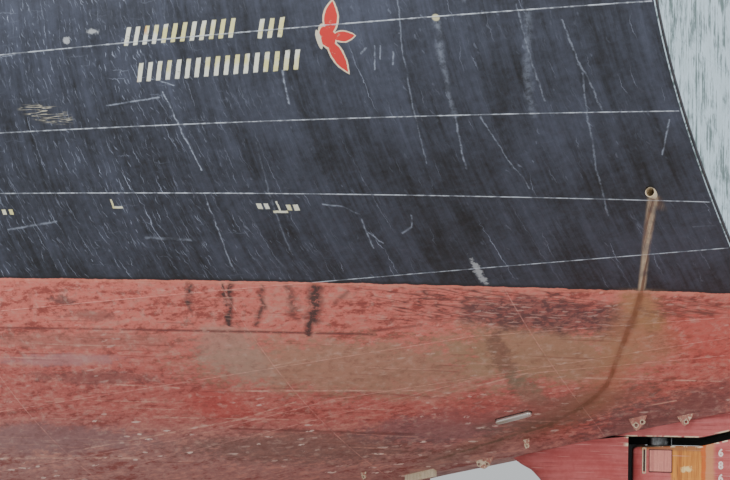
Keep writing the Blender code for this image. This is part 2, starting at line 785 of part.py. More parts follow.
def half_round(radius, far):
    """Outline that is round about the stock on one side and runs on to far on the other."""
    facing = -1.0 if far > STOCK_X else 1.0
    arc = [
        (STOCK_X + facing * radius * math.cos(a), radius * math.sin(a))
        for a in (math.pi / 2 * (i / 8 - 1) for i in range(17))
    ]
    return [*arc, (far, radius), (far, -radius)]


def build_rudder(root, axis):
    """Semi-spade rudder: horn, headbox, blade, stock, pintle and access cover."""
    under = RUDDER_TOP_Z + HEADBOX_GAP
    recess_radius = RUDDER_NOSE_RADIUS + RUDDER_GAP
    break_x = BOTTOM_RUN_X + (under - BOTTOM_RUN_Z) / BOTTOM_RUN_SLOPE
    tail = STOCK_X + GUDGEON_RADIUS

    def horn_level(lead, z=None):
        level = []
        points = [lead + (HORN_WIDEST_X - lead) * share for share in HORN_SHARES]
        for x in [*points, break_x, STOCK_X - GUDGEON_RADIUS, STOCK_X, tail]:
            share = max((HORN_WIDEST_X - x) / (HORN_WIDEST_X - lead), 0.0)
            half = max(HORN_HALF * math.sqrt(1.0 - share**2), FOIL_EDGE_HALF)
            height = min(bottom_z(x), under) - SEAM if z is None else z
            level.append((x, half, height))
        return level

    levels = [horn_level(lead, z) for lead, z in reversed(HORN_EDGE)]
    levels.append(horn_level(HORN_TOP_X))
    horn = add("rudder_horn", foil_solid(levels), "antifouling_red", root, 30)
    cut(horn, prism(half_round(recess_radius, tail + FAR), GUDGEON_TOP_Z, under + PAST))
    outside = [(STOCK_X, -FAR), *half_circle(GUDGEON_RADIUS), (STOCK_X, FAR), (tail + FAR, FAR), (tail + FAR, -FAR)]
    cut(horn, prism(outside, GUDGEON_BOTTOM_Z - PAST, GUDGEON_TOP_Z + PAST / 4))
    bore = circle(bearing_radius(PINTLE_RADIUS), (STOCK_X, 0.0))
    cut(horn, prism(bore, GUDGEON_BOTTOM_Z - PAST, GUDGEON_TOP_Z + PAST))

    box_x = [*spread(HEADBOX_LEAD_X, STOCK_X, 2), *spread(STOCK_X, TOP_KNUCKLE_X, 2)[1:]]
    box_x += spread(TOP_KNUCKLE_X, HEADBOX_TAIL_X, 3)[1:]
    low = [(x, foil_half(x, RUDDER_LEAD_X, RUDDER_TAIL_X), top_line(x, under)) for x in box_x]
    high = [(x, half, bottom_z(x) - SEAM) for x, half, _ in low]
    headbox = add("rudder_headbox", foil_solid([low, high]), "antifouling_red", root, 30)
    trunk = circle(STOCK_RADIUS + STOCK_CLEARANCE, (STOCK_X, 0.0))
    cut(headbox, prism(trunk, under - PAST, bottom_z(STOCK_X) + PAST))

    blade_x = [RUDDER_LEAD_X + (STOCK_X - RUDDER_LEAD_X) * share for share in BLADE_SHARES]
    blade_x += [*spread(STOCK_X, TOP_KNUCKLE_X, 3), *spread(TOP_KNUCKLE_X, RUDDER_TAIL_X, 5)[1:]]
    foil = [(x, foil_half(x, RUDDER_LEAD_X, RUDDER_TAIL_X)) for x in blade_x]
    bottom = [(x, half, RUDDER_BOTTOM_Z) for x, half in foil]
    top = [(x, half, top_line(x, RUDDER_TOP_Z)) for x, half in foil]
    blade = add("rudder_blade", foil_solid([bottom, top]), "antifouling_red", axis, 30)
    recess_top = GUDGEON_TOP_Z + GUDGEON_GAP
    recess_low = GUDGEON_BOTTOM_Z - GUDGEON_GAP
    cut(blade, prism(nose_cut(RUDDER_NOSE_RADIUS), recess_top - PAST / 10, RUDDER_TOP_Z + PAST))
    cut(blade, prism(half_round(recess_radius, RUDDER_LEAD_X - FAR), recess_low, recess_top))
    socket = circle(STOCK_RADIUS + SEAM, (STOCK_X, 0.0))
    cut(blade, prism(socket, RUDDER_TOP_Z - STOCK_SOCKET, RUDDER_TOP_Z + PAST))
    seat = circle(PINTLE_RADIUS + SEAM, (STOCK_X, 0.0), ROUND_STEPS, HALF_STEP)
    cut(blade, prism(seat, recess_low - PINTLE_SOCKET, recess_low + PAST))

    stock = circle(STOCK_RADIUS, (STOCK_X, 0.0))
    bm = prism(stock, RUDDER_TOP_Z - STOCK_SOCKET + SEAM, STOCK_TOP_Z)
    add("rudder_stock", bm, "steel", axis, 35)
    pintle = circle(PINTLE_RADIUS, (STOCK_X, 0.0), ROUND_STEPS, HALF_STEP)
    bm = prism(pintle, recess_low - PINTLE_SOCKET + SEAM, GUDGEON_TOP_Z + PINTLE_HEAD)
    add("rudder_pintle", bm, "steel", axis, 35)

    cx, cz = COVER_CENTRE
    length, height = COVER_SIZE
    start, end = cx - length / 2, cx + length / 2
    seat, face = [], []
    for x in [start, *[x for x in blade_x if start < x < end], end]:
        y = side_half(foil, x) + SEAM
        seat.append([(x, PORT * y, z) for z in (cz - height / 2, cz + height / 2)])
        face.append([(x, PORT * (y + COVER_PLATE), z) for z in (cz - height / 2, cz + height / 2)])
    add("rudder_access_cover", solid_between(face, seat), "antifouling_red", axis)


def side_half(foil, x):
    """Half-width at x of a foil whose sides are straight between its (x, half-width) points."""
    for (x0, half0), (x1, half1) in zip(foil, foil[1:]):
        if x <= x1:
            break
    return half0 + (half1 - half0) * (x - x0) / (x1 - x0)


def half_circle(radius):
    """Aft half circle about the stock, port to starboard."""
    return [
        (STOCK_X + radius * math.cos(a), radius * math.sin(a)) for a in (math.pi / 2 * (i / 8 - 1) for i in range(17))
    ]


def shell_tree(plates, tag):
    """Ray-cast tree of one side's shell and the bottom strip."""
    verts, faces = [], []
    for (_, side), piece in plates.items():
        if side != tag:
            continue
        base = len(verts)
        verts += [v.co.copy() for v in piece.data.vertices]
        faces += [[base + i for i in p.vertices] for p in piece.data.polygons]
    return BVHTree.FromPolygons(verts, faces)


def hull_under(tree, x, y):
    """Height of the hull's underside over (x, y)."""
    hit = tree.ray_cast(Vector((x, y, KEEL_Z - FAR)), Vector((0.0, 0.0, 1.0)))
    return hit[0].z


def hull_beside(tree, x, z, side):
    """Breadth of the hull at (x, z), looking inboard."""
    hit = tree.ray_cast(Vector((x, side * (DECK_HALF_FORWARD + FAR), z)), Vector((0.0, -side, 0.0)))
    return abs(hit[0].y)


def settled(reach, spots, fine=4):
    """How far the hull reaches at each spot of a grid, plus the one allowance that keeps
    the flat triangles between the spots clear of the hull's own edges."""
    heights = [[reach(*spot) for spot in row] for row in spots]
    proud = 0.0
    for i in range(len(spots) - 1):
        for j in range(len(spots[0]) - 1):
            corners = ((i, j), (i + 1, j), (i + 1, j + 1), (i, j + 1))
            for three in ((0, 1, 2), (0, 2, 3), (0, 1, 3), (1, 2, 3)):
                for a in range(fine + 1):
                    for b in range(fine + 1 - a):
                        weights = (a / fine, b / fine, 1 - (a + b) / fine)
                        at = [0.0, 0.0, 0.0]
                        for weight, n in zip(weights, three):
                            p, q = corners[n]
                            at[0] += weight * spots[p][q][0]
                            at[1] += weight * spots[p][q][1]
                            at[2] += weight * heights[p][q]
                        proud = max(proud, reach(at[0], at[1]) - at[2])
    return [[height + proud + SEAM for height in row] for row in heights]


def build_fittings(root, plates):
    """Scupper pipes, anodes, lifting lugs and the ledge at the aperture."""
    trees = {tag: shell_tree(plates, tag) for tag in SIDES}
    for tag, side in SIDES.items():
        tree = trees[tag]
        y = hull_beside(tree, SCUPPER_X, SCUPPER_Z, side)
        start, end = side * (y - SCUPPER_INBOARD), side * (y + SCUPPER_STAND)
        outer = circle(SCUPPER_RADIUS, (SCUPPER_X, SCUPPER_Z), 16)
        inner = circle(SCUPPER_RADIUS - SCUPPER_WALL, (SCUPPER_X, SCUPPER_Z), 16)
        pipe = add(f"scupper_pipe_{tag}", prism(outer, start, end, "y"), "topside_black", root, 30)
        cut(pipe, prism(inner, side * (y - FAR), side * (y + FAR), "y"))
        reach = SCUPPER_RADIUS + SEAM
        hole = circle(reach, (SCUPPER_X, SCUPPER_Z), 16)
        above = SCUPPER_Z - seam_z(SEAM_C, SCUPPER_X)
        for name, meets in (("lower", above < 2 * reach), ("middle", above > -2 * reach)):
            if meets:
                cut(plates[name, tag], prism(hole, side * (y - PAST), side * (y + PAST), "y"))

        ax, az = ANODE_CENTRE
        length, width, thick = ANODE_SIZE
        spots = []
        for i in range(5):
            x = ax + length * (i / 4 - 0.5)
            middle = az + BOTTOM_RUN_SLOPE * (x - ax)
            spots.append([(x, middle + ANODE_TILT * width * (j / 2 - 0.5)) for j in range(3)])
        reached = settled(lambda x, z, side=side, tree=tree: hull_beside(tree, x, z, side), spots)
        outer, inner = [], []
        for i, (row, breadths) in enumerate(zip(spots, reached)):
            stand = thick * (ANODE_END if i in (0, len(spots) - 1) else 1.0)
            inner.append([(x, side * y, z) for (x, z), y in zip(row, breadths)])
            outer.append([(x, side * (y + stand * ANODE_TILT), z - stand * ANODE_TILT) for (x, z), y in zip(row, breadths)])
        add(f"hull_anode_{tag}", solid_between(outer, inner), "zinc", root)

    def under(x, y, tree):
        return -hull_under(tree, x, y)

    for name, sides, x, off, top, depth, foot, eyes in LUGS:
        for tag, side in sides.items():
            tree = trees[tag]
            high = hull_under(tree, x, side * off)
            lines = [side * (off + across * LUG_PLATE) for across in (-0.5, 0.5)]
            shares = [i / (LUG_STEPS - 1) - 0.5 for i in range(LUG_STEPS)]
            spots = [[(x + share * top, y) for y in lines] for share in shares]
            reached = settled(lambda a, b, tree=tree: under(a, b, tree), spots)
            upper = [[(*spot, -down) for spot, down in zip(*pair)] for pair in zip(spots, reached)]
            lower = [[(x + share * foot, y, high - depth) for y in lines] for share in shares]
            lug = add(f"{name}_{tag}", solid_between(upper, lower), "antifouling_red", root)
            for u, down, radius in eyes:
                eye = circle(radius, (x + u, high - down), EYE_STEPS)
                near, far = side * (off - 0.1), side * (off + 0.1)
                cut(lug, prism(eye, near, far, "y"))

    tree = trees["port"]
    ends = spread(LEDGE_START_X, LEDGE_START_X + LEDGE_LENGTH, 4)
    spots = [[(x, PORT * y) for y in (LEDGE_OFF, LEDGE_OFF + LEDGE_WIDTH)] for x in ends]
    reached = settled(lambda a, b: under(a, b, tree), spots)
    upper = [[(*spot, -down) for spot, down in zip(*pair)] for pair in zip(spots, reached)]
    lower = [[(x, y, row[0][2] - LEDGE_DEPTH) for x, y, _ in row] for row in upper]
    add("aperture_ledge", solid_between(upper, lower), "antifouling_red", root)


def main():
    for obj in list(bpy.data.objects):
        bpy.data.objects.remove(obj)
    root = helper("section_datum", (0.0, 0.0, 0.0))
    rudder_axis = helper("rudder_axis", (STOCK_X, 0.0, RUDDER_TOP_Z), root)
    shaft_axis = helper("shaft_axis", (hub_start(), 0.0, SHAFT_Z), root)
    plates = build_shell(root)
    build_bottom(root)
    build_ends(root)
    build_deck(root)
    build_skeg(root)
    build_rudder(root, rudder_axis)
    build_propeller(shaft_axis)
    build_fittings(root, plates)


main()
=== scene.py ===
"""Looks of a cargo ship's stern section: shell, transom, deck, skeg, propeller and rudder.

Metres in the frame's own axes: x runs aft, -y is port and z is the height over the paint line.
Every paint, weld and stain is placed by its real position on the hull.
"""

import json
import logging
import math
from collections.abc import Callable, Iterable, Sequence
from dataclasses import dataclass
from enum import Enum
from functools import partial, reduce
from types import SimpleNamespace
from typing import NamedTuple

import bmesh
import bpy
from mathutils import Matrix, Vector

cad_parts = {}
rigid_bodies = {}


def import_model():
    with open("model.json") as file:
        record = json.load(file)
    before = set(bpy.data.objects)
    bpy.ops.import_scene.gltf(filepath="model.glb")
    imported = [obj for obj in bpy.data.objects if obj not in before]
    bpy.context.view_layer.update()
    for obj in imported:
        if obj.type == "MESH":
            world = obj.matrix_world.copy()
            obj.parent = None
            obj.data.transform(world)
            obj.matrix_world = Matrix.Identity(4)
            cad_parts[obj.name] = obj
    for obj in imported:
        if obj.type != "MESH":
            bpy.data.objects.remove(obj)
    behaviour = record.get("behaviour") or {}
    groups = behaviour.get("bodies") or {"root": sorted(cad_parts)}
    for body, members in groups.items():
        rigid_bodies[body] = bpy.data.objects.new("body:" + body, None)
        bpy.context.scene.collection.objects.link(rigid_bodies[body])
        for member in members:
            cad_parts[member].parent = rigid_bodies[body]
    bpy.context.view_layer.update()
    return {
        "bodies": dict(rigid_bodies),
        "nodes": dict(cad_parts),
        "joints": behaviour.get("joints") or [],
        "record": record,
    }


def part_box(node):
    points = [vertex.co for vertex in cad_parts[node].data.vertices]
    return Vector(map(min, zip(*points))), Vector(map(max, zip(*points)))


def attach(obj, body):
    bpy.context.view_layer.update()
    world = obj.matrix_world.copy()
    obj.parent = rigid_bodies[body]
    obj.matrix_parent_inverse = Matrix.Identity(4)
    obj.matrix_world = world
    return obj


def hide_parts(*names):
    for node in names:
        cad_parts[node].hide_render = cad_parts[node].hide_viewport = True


log = logging.getLogger("stern_section")

MERGE = 1e-5  # points closer than this are one point
NOT_ZERO = 0.00001  # keeps a width from being divided by as 0
AIR = 0.0003  # left between a piece and what it stands on
SINK = 0.004  # how far a piece's top runs into the bottom plate
STRIDE = 0.01  # step over which a surface's slope is measured
Point = tuple[float, float]
Height = Callable[[float], float]  # height at x
Colour = tuple[int, int, int]  # as read, 0 to 255


class Side(Enum):
    """Side of the ship, as the sign of y."""

    PORT = -1.0
    STARBOARD = 1.0

    @property
    def tag(self) -> str:
        """The side's word in the names of pieces."""
        return self.name.lower()


class Body(Enum):
    """The frame's moving bodies."""

    HULL = "hull"
    RUDDER = "rudder"
    PROPELLER = "propeller"


def between(value: float, low: float, high: float) -> float:
    """The value, kept between two limits."""
    return min(max(value, low), high)


def mix(low: float, high: float, share: float) -> float:
    """Number between two, a share of the way."""
    return low + (high - low) * share


def spaced(low: float, high: float, count: int) -> list[float]:
    """Numbers from low to high in even steps, with both ends."""
    return [low + (high - low) * i / count for i in range(count + 1)]


def along_line(points: Sequence[Point], x: float) -> float:
    """Height at x of a line that is straight between points.

    Args:
        points: (x, height) points in rising order of x.
        x: where to read the line.

    Returns:
        The height, that of the nearest end past the line's ends.
    """
    if x <= points[0][0]:
        return points[0][1]
    for (x0, z0), (x1, z1) in zip(points, points[1:]):
        if x <= x1:
            return mix(z0, z1, (x - x0) / (x1 - x0))
    return points[-1][1]


@dataclass(frozen=True)
class HullForm:
    """Outer surface of the hull, from the same dimensions as the frame's own solids."""

    length: float = 14.57
    stations: int = 18
    start: float = 0.0163
    deck_z: float = 5.25
    deck_plate: float = 0.016
    deck_half_forward: float = 9.247
    deck_half_aft: float = 7.92
    deck_taper: float = 1.70
    bottom_aft: float = -1.605
    bottom_slope: float = 0.1574
    bottom_curve: float = 0.0048
    fullness: Point = (2.748, 2.19)
    flatness: Point = (1.654, 0.838)
    knee: float = 0.25  # share of the lowest strake that curves into the flat strip
    plate: float = 0.018
    flat_forward: float = 1.90
    flat_aft: float = 0.42
    run_x: float = 8.09
    run_z: float = -2.737
    run_slope: float = 0.2115
    keel_z: float = -8.30
    skeg_end: float = 7.50
    skeg_half_forward: float = 0.95
    skeg_half_aft: float = 0.24
    skeg_taper: float = 1.6
    shaft_z: float = -5.60

    def deck_half(self, x: float) -> float:
        """Half-breadth of the deck at x."""
        share = between(x / self.length, 0.0, 1.0)
        return mix(self.deck_half_forward, self.deck_half_aft, share**self.deck_taper)

    def form_bottom(self, x: float) -> float:
        """Height where the form meets the centreline at x."""
        ahead = self.length - x
        return self.bottom_aft - self.bottom_slope * ahead - self.bottom_curve * ahead**2

    def powers(self, x: float) -> Point:
        """Fullness and flatness of the section at x."""
        share = between(x / self.length, 0.0, 1.0)
        return mix(*self.fullness, share), mix(*self.flatness, share)

    def half_breadth(self, x: float, z: float) -> float:
        """Half-breadth of the form at station x and height z."""
        full, flat = self.powers(x)
        bottom = self.form_bottom(x)
        rise = between((z - bottom) / (self.deck_z - bottom), 0.0, 1.0)
        return self.deck_half(x) * (1.0 - (1.0 - rise) ** full) ** (1.0 / flat)

    def height_at(self, x: float, y: float) -> float:
        """Height of the form at station x, a distance y off the centreline."""
        full, flat = self.powers(x)
        bottom = self.form_bottom(x)
        rise = 1.0 - (1.0 - (y / self.deck_half(x)) ** flat) ** (1.0 / full)
        return mix(bottom, self.deck_z, rise)

    def flat_half(self, x: float) -> float:
        """Half-width of the flat strip along the bottom."""
        share = max(1.0 - x / self.skeg_end, 0.0)
        return mix(self.flat_aft, self.flat_forward, share**self.skeg_taper)

    def station_bottom(self, x: float) -> float:
        """Height of the flat strip at a station."""
        if x >= self.run_x:
            return self.run_z + self.run_slope * (x - self.run_x)
        return self.height_at(x, self.flat_half(x))

    def bottom_z(self, x: float) -> float:
        """Height of the flat strip at x, straight between the stations as its plates are."""
        step = self.length / self.stations
        place = between(x / step, 0.0, self.stations - 1e-6)
        near = max(math.floor(place) * step, self.start)
        far = (math.floor(place) + 1) * step
        return mix(self.station_bottom(near), self.station_bottom(far), (x - near) / (far - near))

    def shell_y(self, x: float, z: float) -> float:
        """Half-breadth of the shell, which runs smoothly into the flat strip's edge."""
        bottom = self.bottom_z(x)
        knee = mix(bottom, SEAM_G.z(x), self.knee)
        if z >= knee:
            return self.half_breadth(x, z)
        edge, end = self.flat_half(x), self.half_breadth(x, knee)
        slope = (self.half_breadth(x, knee + STRIDE) - end) / STRIDE
        rise = between(slope * (knee - bottom) / max(end - edge, 0.02), 0.5, 2.0)
        return mix(edge, end, between((z - bottom) / (knee - bottom), 0.0, 1.0) ** rise)

    def point(self, side: Side, x: float, z: float) -> Vector:
        """Point on the shell."""
        return Vector((x, side.value * self.shell_y(x, z), z))

    def normal(self, side: Side, x: float, z: float) -> Vector:
        """Outward direction of the shell at x and z."""
        down = max(z - STRIDE, self.bottom_z(x))
        rise = (self.shell_y(x, z + STRIDE) - self.shell_y(x, down)) / (z + STRIDE - down)
        aft = min(x + STRIDE, self.length)
        run = (self.shell_y(aft, z) - self.shell_y(aft - 2 * STRIDE, z)) / (2 * STRIDE)
        return Vector((-run, side.value, -rise)).normalized()

    def skeg_half(self, x: float, z: float) -> float:
        """Half-width of the skeg at x and z."""
        share = max(1.0 - x / self.skeg_end, 0.0)
        keel = mix(self.skeg_half_aft, self.skeg_half_forward, share**self.skeg_taper)
        up = between((z - self.keel_z) / (self.bottom_z(x) - self.keel_z), 0.0, 1.0)
        return mix(keel, self.flat_half(x), up ** (1.0 + 1.4 * share))


@dataclass(frozen=True)
class Seam:
    """Weld seam between two strakes, straight between (share of the length, height) points."""

    points: tuple[Point, ...]

    def z(self, x: float) -> float:
        """Height of the seam at x."""
        return along_line(self.points, x / FORM.length)


FORM = HullForm()
SEAM_A = Seam(((0.0, 2.885), (1.0, 3.275)))
SEAM_B = Seam(((0.0, 1.905), (1.0, 2.075)))
SEAM_C = Seam(((0.0, 1.190), (1.0, 1.072)))
SEAM_D = Seam(((0.0, -0.86), (0.66, 0.07), (1.0, 0.55)))
SEAM_E = Seam(((0.0, -2.47), (0.724, -0.66), (1.0, -0.26)))
SEAM_G = Seam(((0.0, -3.79), (0.707, -1.215), (1.0, -0.72)))
# An older plate seam that shows only in the bilge
SEAM_F = Seam(((0.0, -3.34), (0.36, -2.30), (0.55, -1.60), (1.0, -0.47)))


def skin(rings: Sequence[Sequence[Vector]], mirrored: bool = False) -> bmesh.types.BMesh:
    """Closed solid through rings of points, with both ends filled.

    Args:
        rings: rings of equal length, each going once round.
        mirrored: whether each ring starts on the centreline and is the same on both sides, so that its
            end is filled with cross strips and can bend.

    Returns:
        The solid, facing out.
    """
    rows, columns = len(rings) - 1, len(rings[0])
    ends: dict[tuple[int, int], bmesh.types.BMVert] = {}
    bm = bmesh.new()
    bmesh.ops.create_grid(bm, x_segments=rows, y_segments=columns, size=0.5)
    for vert in bm.verts:
        i = round((vert.co.x + 0.5) * rows)
        j = round((vert.co.y + 0.5) * columns)
        vert.co = rings[i][j % columns]
        if i in (0, rows):
            ends[i, j] = vert
    bmesh.ops.remove_doubles(bm, verts=bm.verts[:], dist=MERGE)
    rims = [edge for edge in bm.edges if edge.is_boundary]
    bmesh.ops.holes_fill(bm, edges=rims, sides=0)
    if mirrored:
        for i in (0, rows):
            for j in range(1, (columns + 1) // 2):
                pair = [ends[i, j], ends[i, columns - j]]
                if all(vert.is_valid for vert in pair):
                    bmesh.ops.connect_verts(bm, verts=pair)
    bmesh.ops.recalc_face_normals(bm, faces=bm.faces[:])
    return bm


def sheet(
    across: int, up: int, place: Callable[[float, float], Vector], outward: Vector, thick: float
) -> bmesh.types.BMesh:
    """Plate bent over a surface.

    Args:
        across: cells along the first direction.
        up: cells along the second direction.
        place: gives the outer face's point for two shares from 0 to 1.
        outward: roughly where the outer face looks.
        thick: the plate's thickness, laid inward.

    Returns:
        The closed plate.
    """
    bm = bmesh.new()
    bmesh.ops.create_grid(bm, x_segments=across, y_segments=up, size=0.5)
    for vert in bm.verts:
        vert.co = place(between(vert.co.x + 0.5, 0.0, 1.0), between(vert.co.y + 0.5, 0.0, 1.0))
    bm.normal_update()
    if sum(face.normal.dot(outward) for face in bm.faces) < 0.0:
        bmesh.ops.reverse_faces(bm, faces=bm.faces[:])
        bm.normal_update()
    bmesh.ops.solidify(bm, geom=bm.faces[:], thickness=thick)
    bmesh.ops.recalc_face_normals(bm, faces=bm.faces[:])
    return bm


def lathe(profile: Sequence[Point], place: Matrix, steps: int = 48, ring: bool = False) -> bmesh.types.BMesh:
    """Turned solid about the x axis.

    Args:
        profile: (along, radius) points; the ends lie on the axis unless it is a ring.
        place: where the solid stands.
        steps: flats all round.
        ring: joins the profile's ends, for a tube.

    Returns:
        The closed solid.
    """
    bm = bmesh.new()
    verts = [bm.verts.new((a, 0.0, r)) for a, r in profile]
    edges = [bm.edges.new(pair) for pair in zip(verts, verts[1:])]
    if ring:
        edges.append(bm.edges.new((verts[-1], verts[0])))
    bmesh.ops.spin(
        bm, geom=verts + edges, cent=(0, 0, 0), axis=(1, 0, 0), angle=math.tau, steps=steps, use_merge=True
    )
    bmesh.ops.remove_doubles(bm, verts=bm.verts[:], dist=MERGE)
    bmesh.ops.recalc_face_normals(bm, faces=bm.faces[:])
    bmesh.ops.transform(bm, matrix=place, verts=bm.verts[:])
    return bm


def rod(radius: float, low: float, high: float) -> tuple[Point, ...]:
    """Lathe profile of a plain rod from low to high on its axis."""
    return (low, 0.0), (low, radius), (high, radius), (high, 0.0)


def upright(x: float, y: float, z: float) -> Matrix:
    """Place of a turned solid whose axis points up."""
    return Matrix.Translation((x, y, z)) @ Matrix.Rotation(-math.pi / 2, 4, "Y")


def crosswise(x: float, y: float, z: float, sign: float = 1.0) -> Matrix:
    """Place of a turned solid whose axis points across the ship, to starboard where the sign is 1."""
    return Matrix.Translation((x, y, z)) @ Matrix.Rotation(sign * math.pi / 2, 4, "Z")


def on_shaft(x: float) -> Matrix:
    """Place of a turned solid on the shaft line."""
    return Matrix.Translation((x, 0.0, FORM.shaft_z))


def bead(spots: Iterable[tuple[Vector, Vector, Vector]]) -> bmesh.types.BMesh:
    """Weld bead through spots, each a middle with its half-width and its half-height as vectors."""
    around = [(math.cos(math.tau * k / 8), math.sin(math.tau * k / 8)) for k in range(8)]
    return skin([[at + wide * c + tall * s for c, s in around] for at, wide, tall in spots])


def slab(outline: Sequence[Vector], push: Vector, ease: float = 0.0, segments: int = 2) -> bmesh.types.BMesh:
    """Flat plate with eased edges.

    Args:
        outline: corners of one face.
        push: from that face to the other.
        ease: radius of its edges.
        segments: steps round each edge.

    Returns:
        The closed plate.
    """
    bm = bmesh.new()
    face = bm.faces.new([bm.verts.new(point) for point in outline])
    made = bmesh.ops.extrude_face_region(bm, geom=[face], use_keep_orig=True)
    moved = [part for part in made["geom"] if isinstance(part, bmesh.types.BMVert)]
    bmesh.ops.translate(bm, verts=moved, vec=push)
    bmesh.ops.recalc_face_normals(bm, faces=bm.faces[:])
    if ease:
        bmesh.ops.bevel(
            bm, geom=bm.edges[:], offset=ease, segments=segments, profile=0.5, affect="EDGES", material=-1
        )
    return bm


def gathered(parts: Iterable[bmesh.types.BMesh]) -> bmesh.types.BMesh:
    """Several closed shapes in one mesh; the given ones are used up."""
    whole = bmesh.new()
    for part in parts:
        mesh = bpy.data.meshes.new("gathered_part")
        part.to_mesh(mesh)
        part.free()
        whole.from_mesh(mesh)
        bpy.data.meshes.remove(mesh)
    return whole


def carved(bm: bmesh.types.BMesh, tools: Iterable[bmesh.types.BMesh]) -> bmesh.types.BMesh:
    """Cuts closed tools out of a closed shape.

    Args:
        bm: the shape, used up.
        tools: the cutters, used up.

    Returns:
        What is left of the shape.
    """
    objects = []
    for shape in (bm, *tools):
        mesh = bpy.data.meshes.new("carving")
        shape.to_mesh(mesh)
        shape.free()
        made = bpy.data.objects.new("carving", mesh)
        bpy.context.scene.collection.objects.link(made)
        objects.append(made)
    for tool in objects[1:]:
        modifier = objects[0].modifiers.new("cut", "BOOLEAN")
        modifier.operation = "DIFFERENCE"
        modifier.solver = "EXACT"
        modifier.object = tool
    depsgraph = bpy.context.evaluated_depsgraph_get()
    done = bpy.data.meshes.new_from_object(objects[0].evaluated_get(depsgraph))
    left = bmesh.new()
    left.from_mesh(done)
    bpy.data.meshes.remove(done)
    for made in objects:
        mesh = made.data
        bpy.data.objects.remove(made)
        bpy.data.meshes.remove(mesh)
    return left


def piece(
    name: str,
    bm: bmesh.types.BMesh,
    finish: "Finish",
    stands_for: Sequence[str] = (),
    body: Body = Body.HULL,
    smooth: float = 32.0,
) -> None:
    """Makes a shape into a finished piece that rides on a body.

    Args:
        name: the piece's name.
        bm: its closed shape in its place, used up.
        finish: what it is painted with or made of.
        stands_for: frame nodes that it replaces.
        body: the body it moves with.
        smooth: edges bent less than this many degrees are shaded smooth.
    """
    mesh = bpy.data.meshes.new(name)
    bm.to_mesh(mesh)
    bm.free()
    mesh.shade_smooth()
    mesh.set_sharp_from_angle(angle=math.radians(smooth))
    mesh.materials.append(finish.material())
    made = bpy.data.objects.new(name, mesh)
    bpy.context.scene.collection.objects.link(made)
    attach(made, body.value)
    if stands_for:
        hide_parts(*stands_for)
    log.info("%s: %d faces on the %s", name, len(mesh.polygons), body.value)


def repaint(node: str, finish: "Finish") -> None:
    """Paints a frame node that has the right shape already."""
    materials = FRAME["nodes"][node].data.materials
    materials.clear()
    materials.append(finish.material())


def srgb(red: float, green: float, blue: float) -> tuple[float, float, float, float]:
    """Linear colour of a paint that is read as 0 to 255."""
    return (*((part / 255.0) ** 2.2 for part in (red, green, blue)), 1.0)


@dataclass(frozen=True)
class Value:
    """Output of a node. Sums and products of values are written as of plain numbers."""

    w: "Wiring"
    socket: bpy.types.NodeSocket

    def __add__(self, other: "Feed") -> "Value":
        """Sum."""
        return self.w.maths("ADD", self, other)

    def __radd__(self, other: "Feed") -> "Value":
        """Sum with a plain number first."""
        return self.w.maths("ADD", other, self)

    def __sub__(self, other: "Feed") -> "Value":
        """Difference."""
        return self.w.maths("SUBTRACT", self, other)

    def __rsub__(self, other: "Feed") -> "Value":
        """Difference with a plain number first."""
        return self.w.maths("SUBTRACT", other, self)

    def __mul__(self, other: "Feed") -> "Value":
        """Product."""
        return self.w.maths("MULTIPLY", self, other)

    def __truediv__(self, other: "Feed") -> "Value":
        """Quotient."""
        return self.w.maths("DIVIDE", self, other)

    def __rtruediv__(self, other: "Feed") -> "Value":
        """Quotient with a plain number first."""
        return self.w.maths("DIVIDE", other, self)

    def __abs__(self) -> "Value":
        """Size without the sign."""
        return self.w.maths("ABSOLUTE", self)

    def held(self) -> "Value":
        """The value, kept from 0 to 1."""
        return self.w.out(self.w.node("Clamp", {"Value": self}))

    def swing(self, amount: "Feed") -> "Value":
        """A noise's distance from its middle of 0.5, times an amount."""
        return (self - 0.5) * amount

    def ease(self, low: "Feed", high: "Feed", start: float = 0.0, end: float = 1.0) -> "Value":
        """Smooth step.

        Args:
            low: where the step starts.
            high: where it ends.
            start: result below the step.
            end: result above it.

        Returns:
            The result, which stays between start and end without a clamp.
        """
        names = ("Value", "From Min", "From Max", "To Min", "To Max")
        feeds = dict(zip(names, (self, low, high, start, end)))
        node = self.w.node("MapRange", feeds, interpolation_type="SMOOTHSTEP", clamp=False)
        return self.w.out(node, "Result")


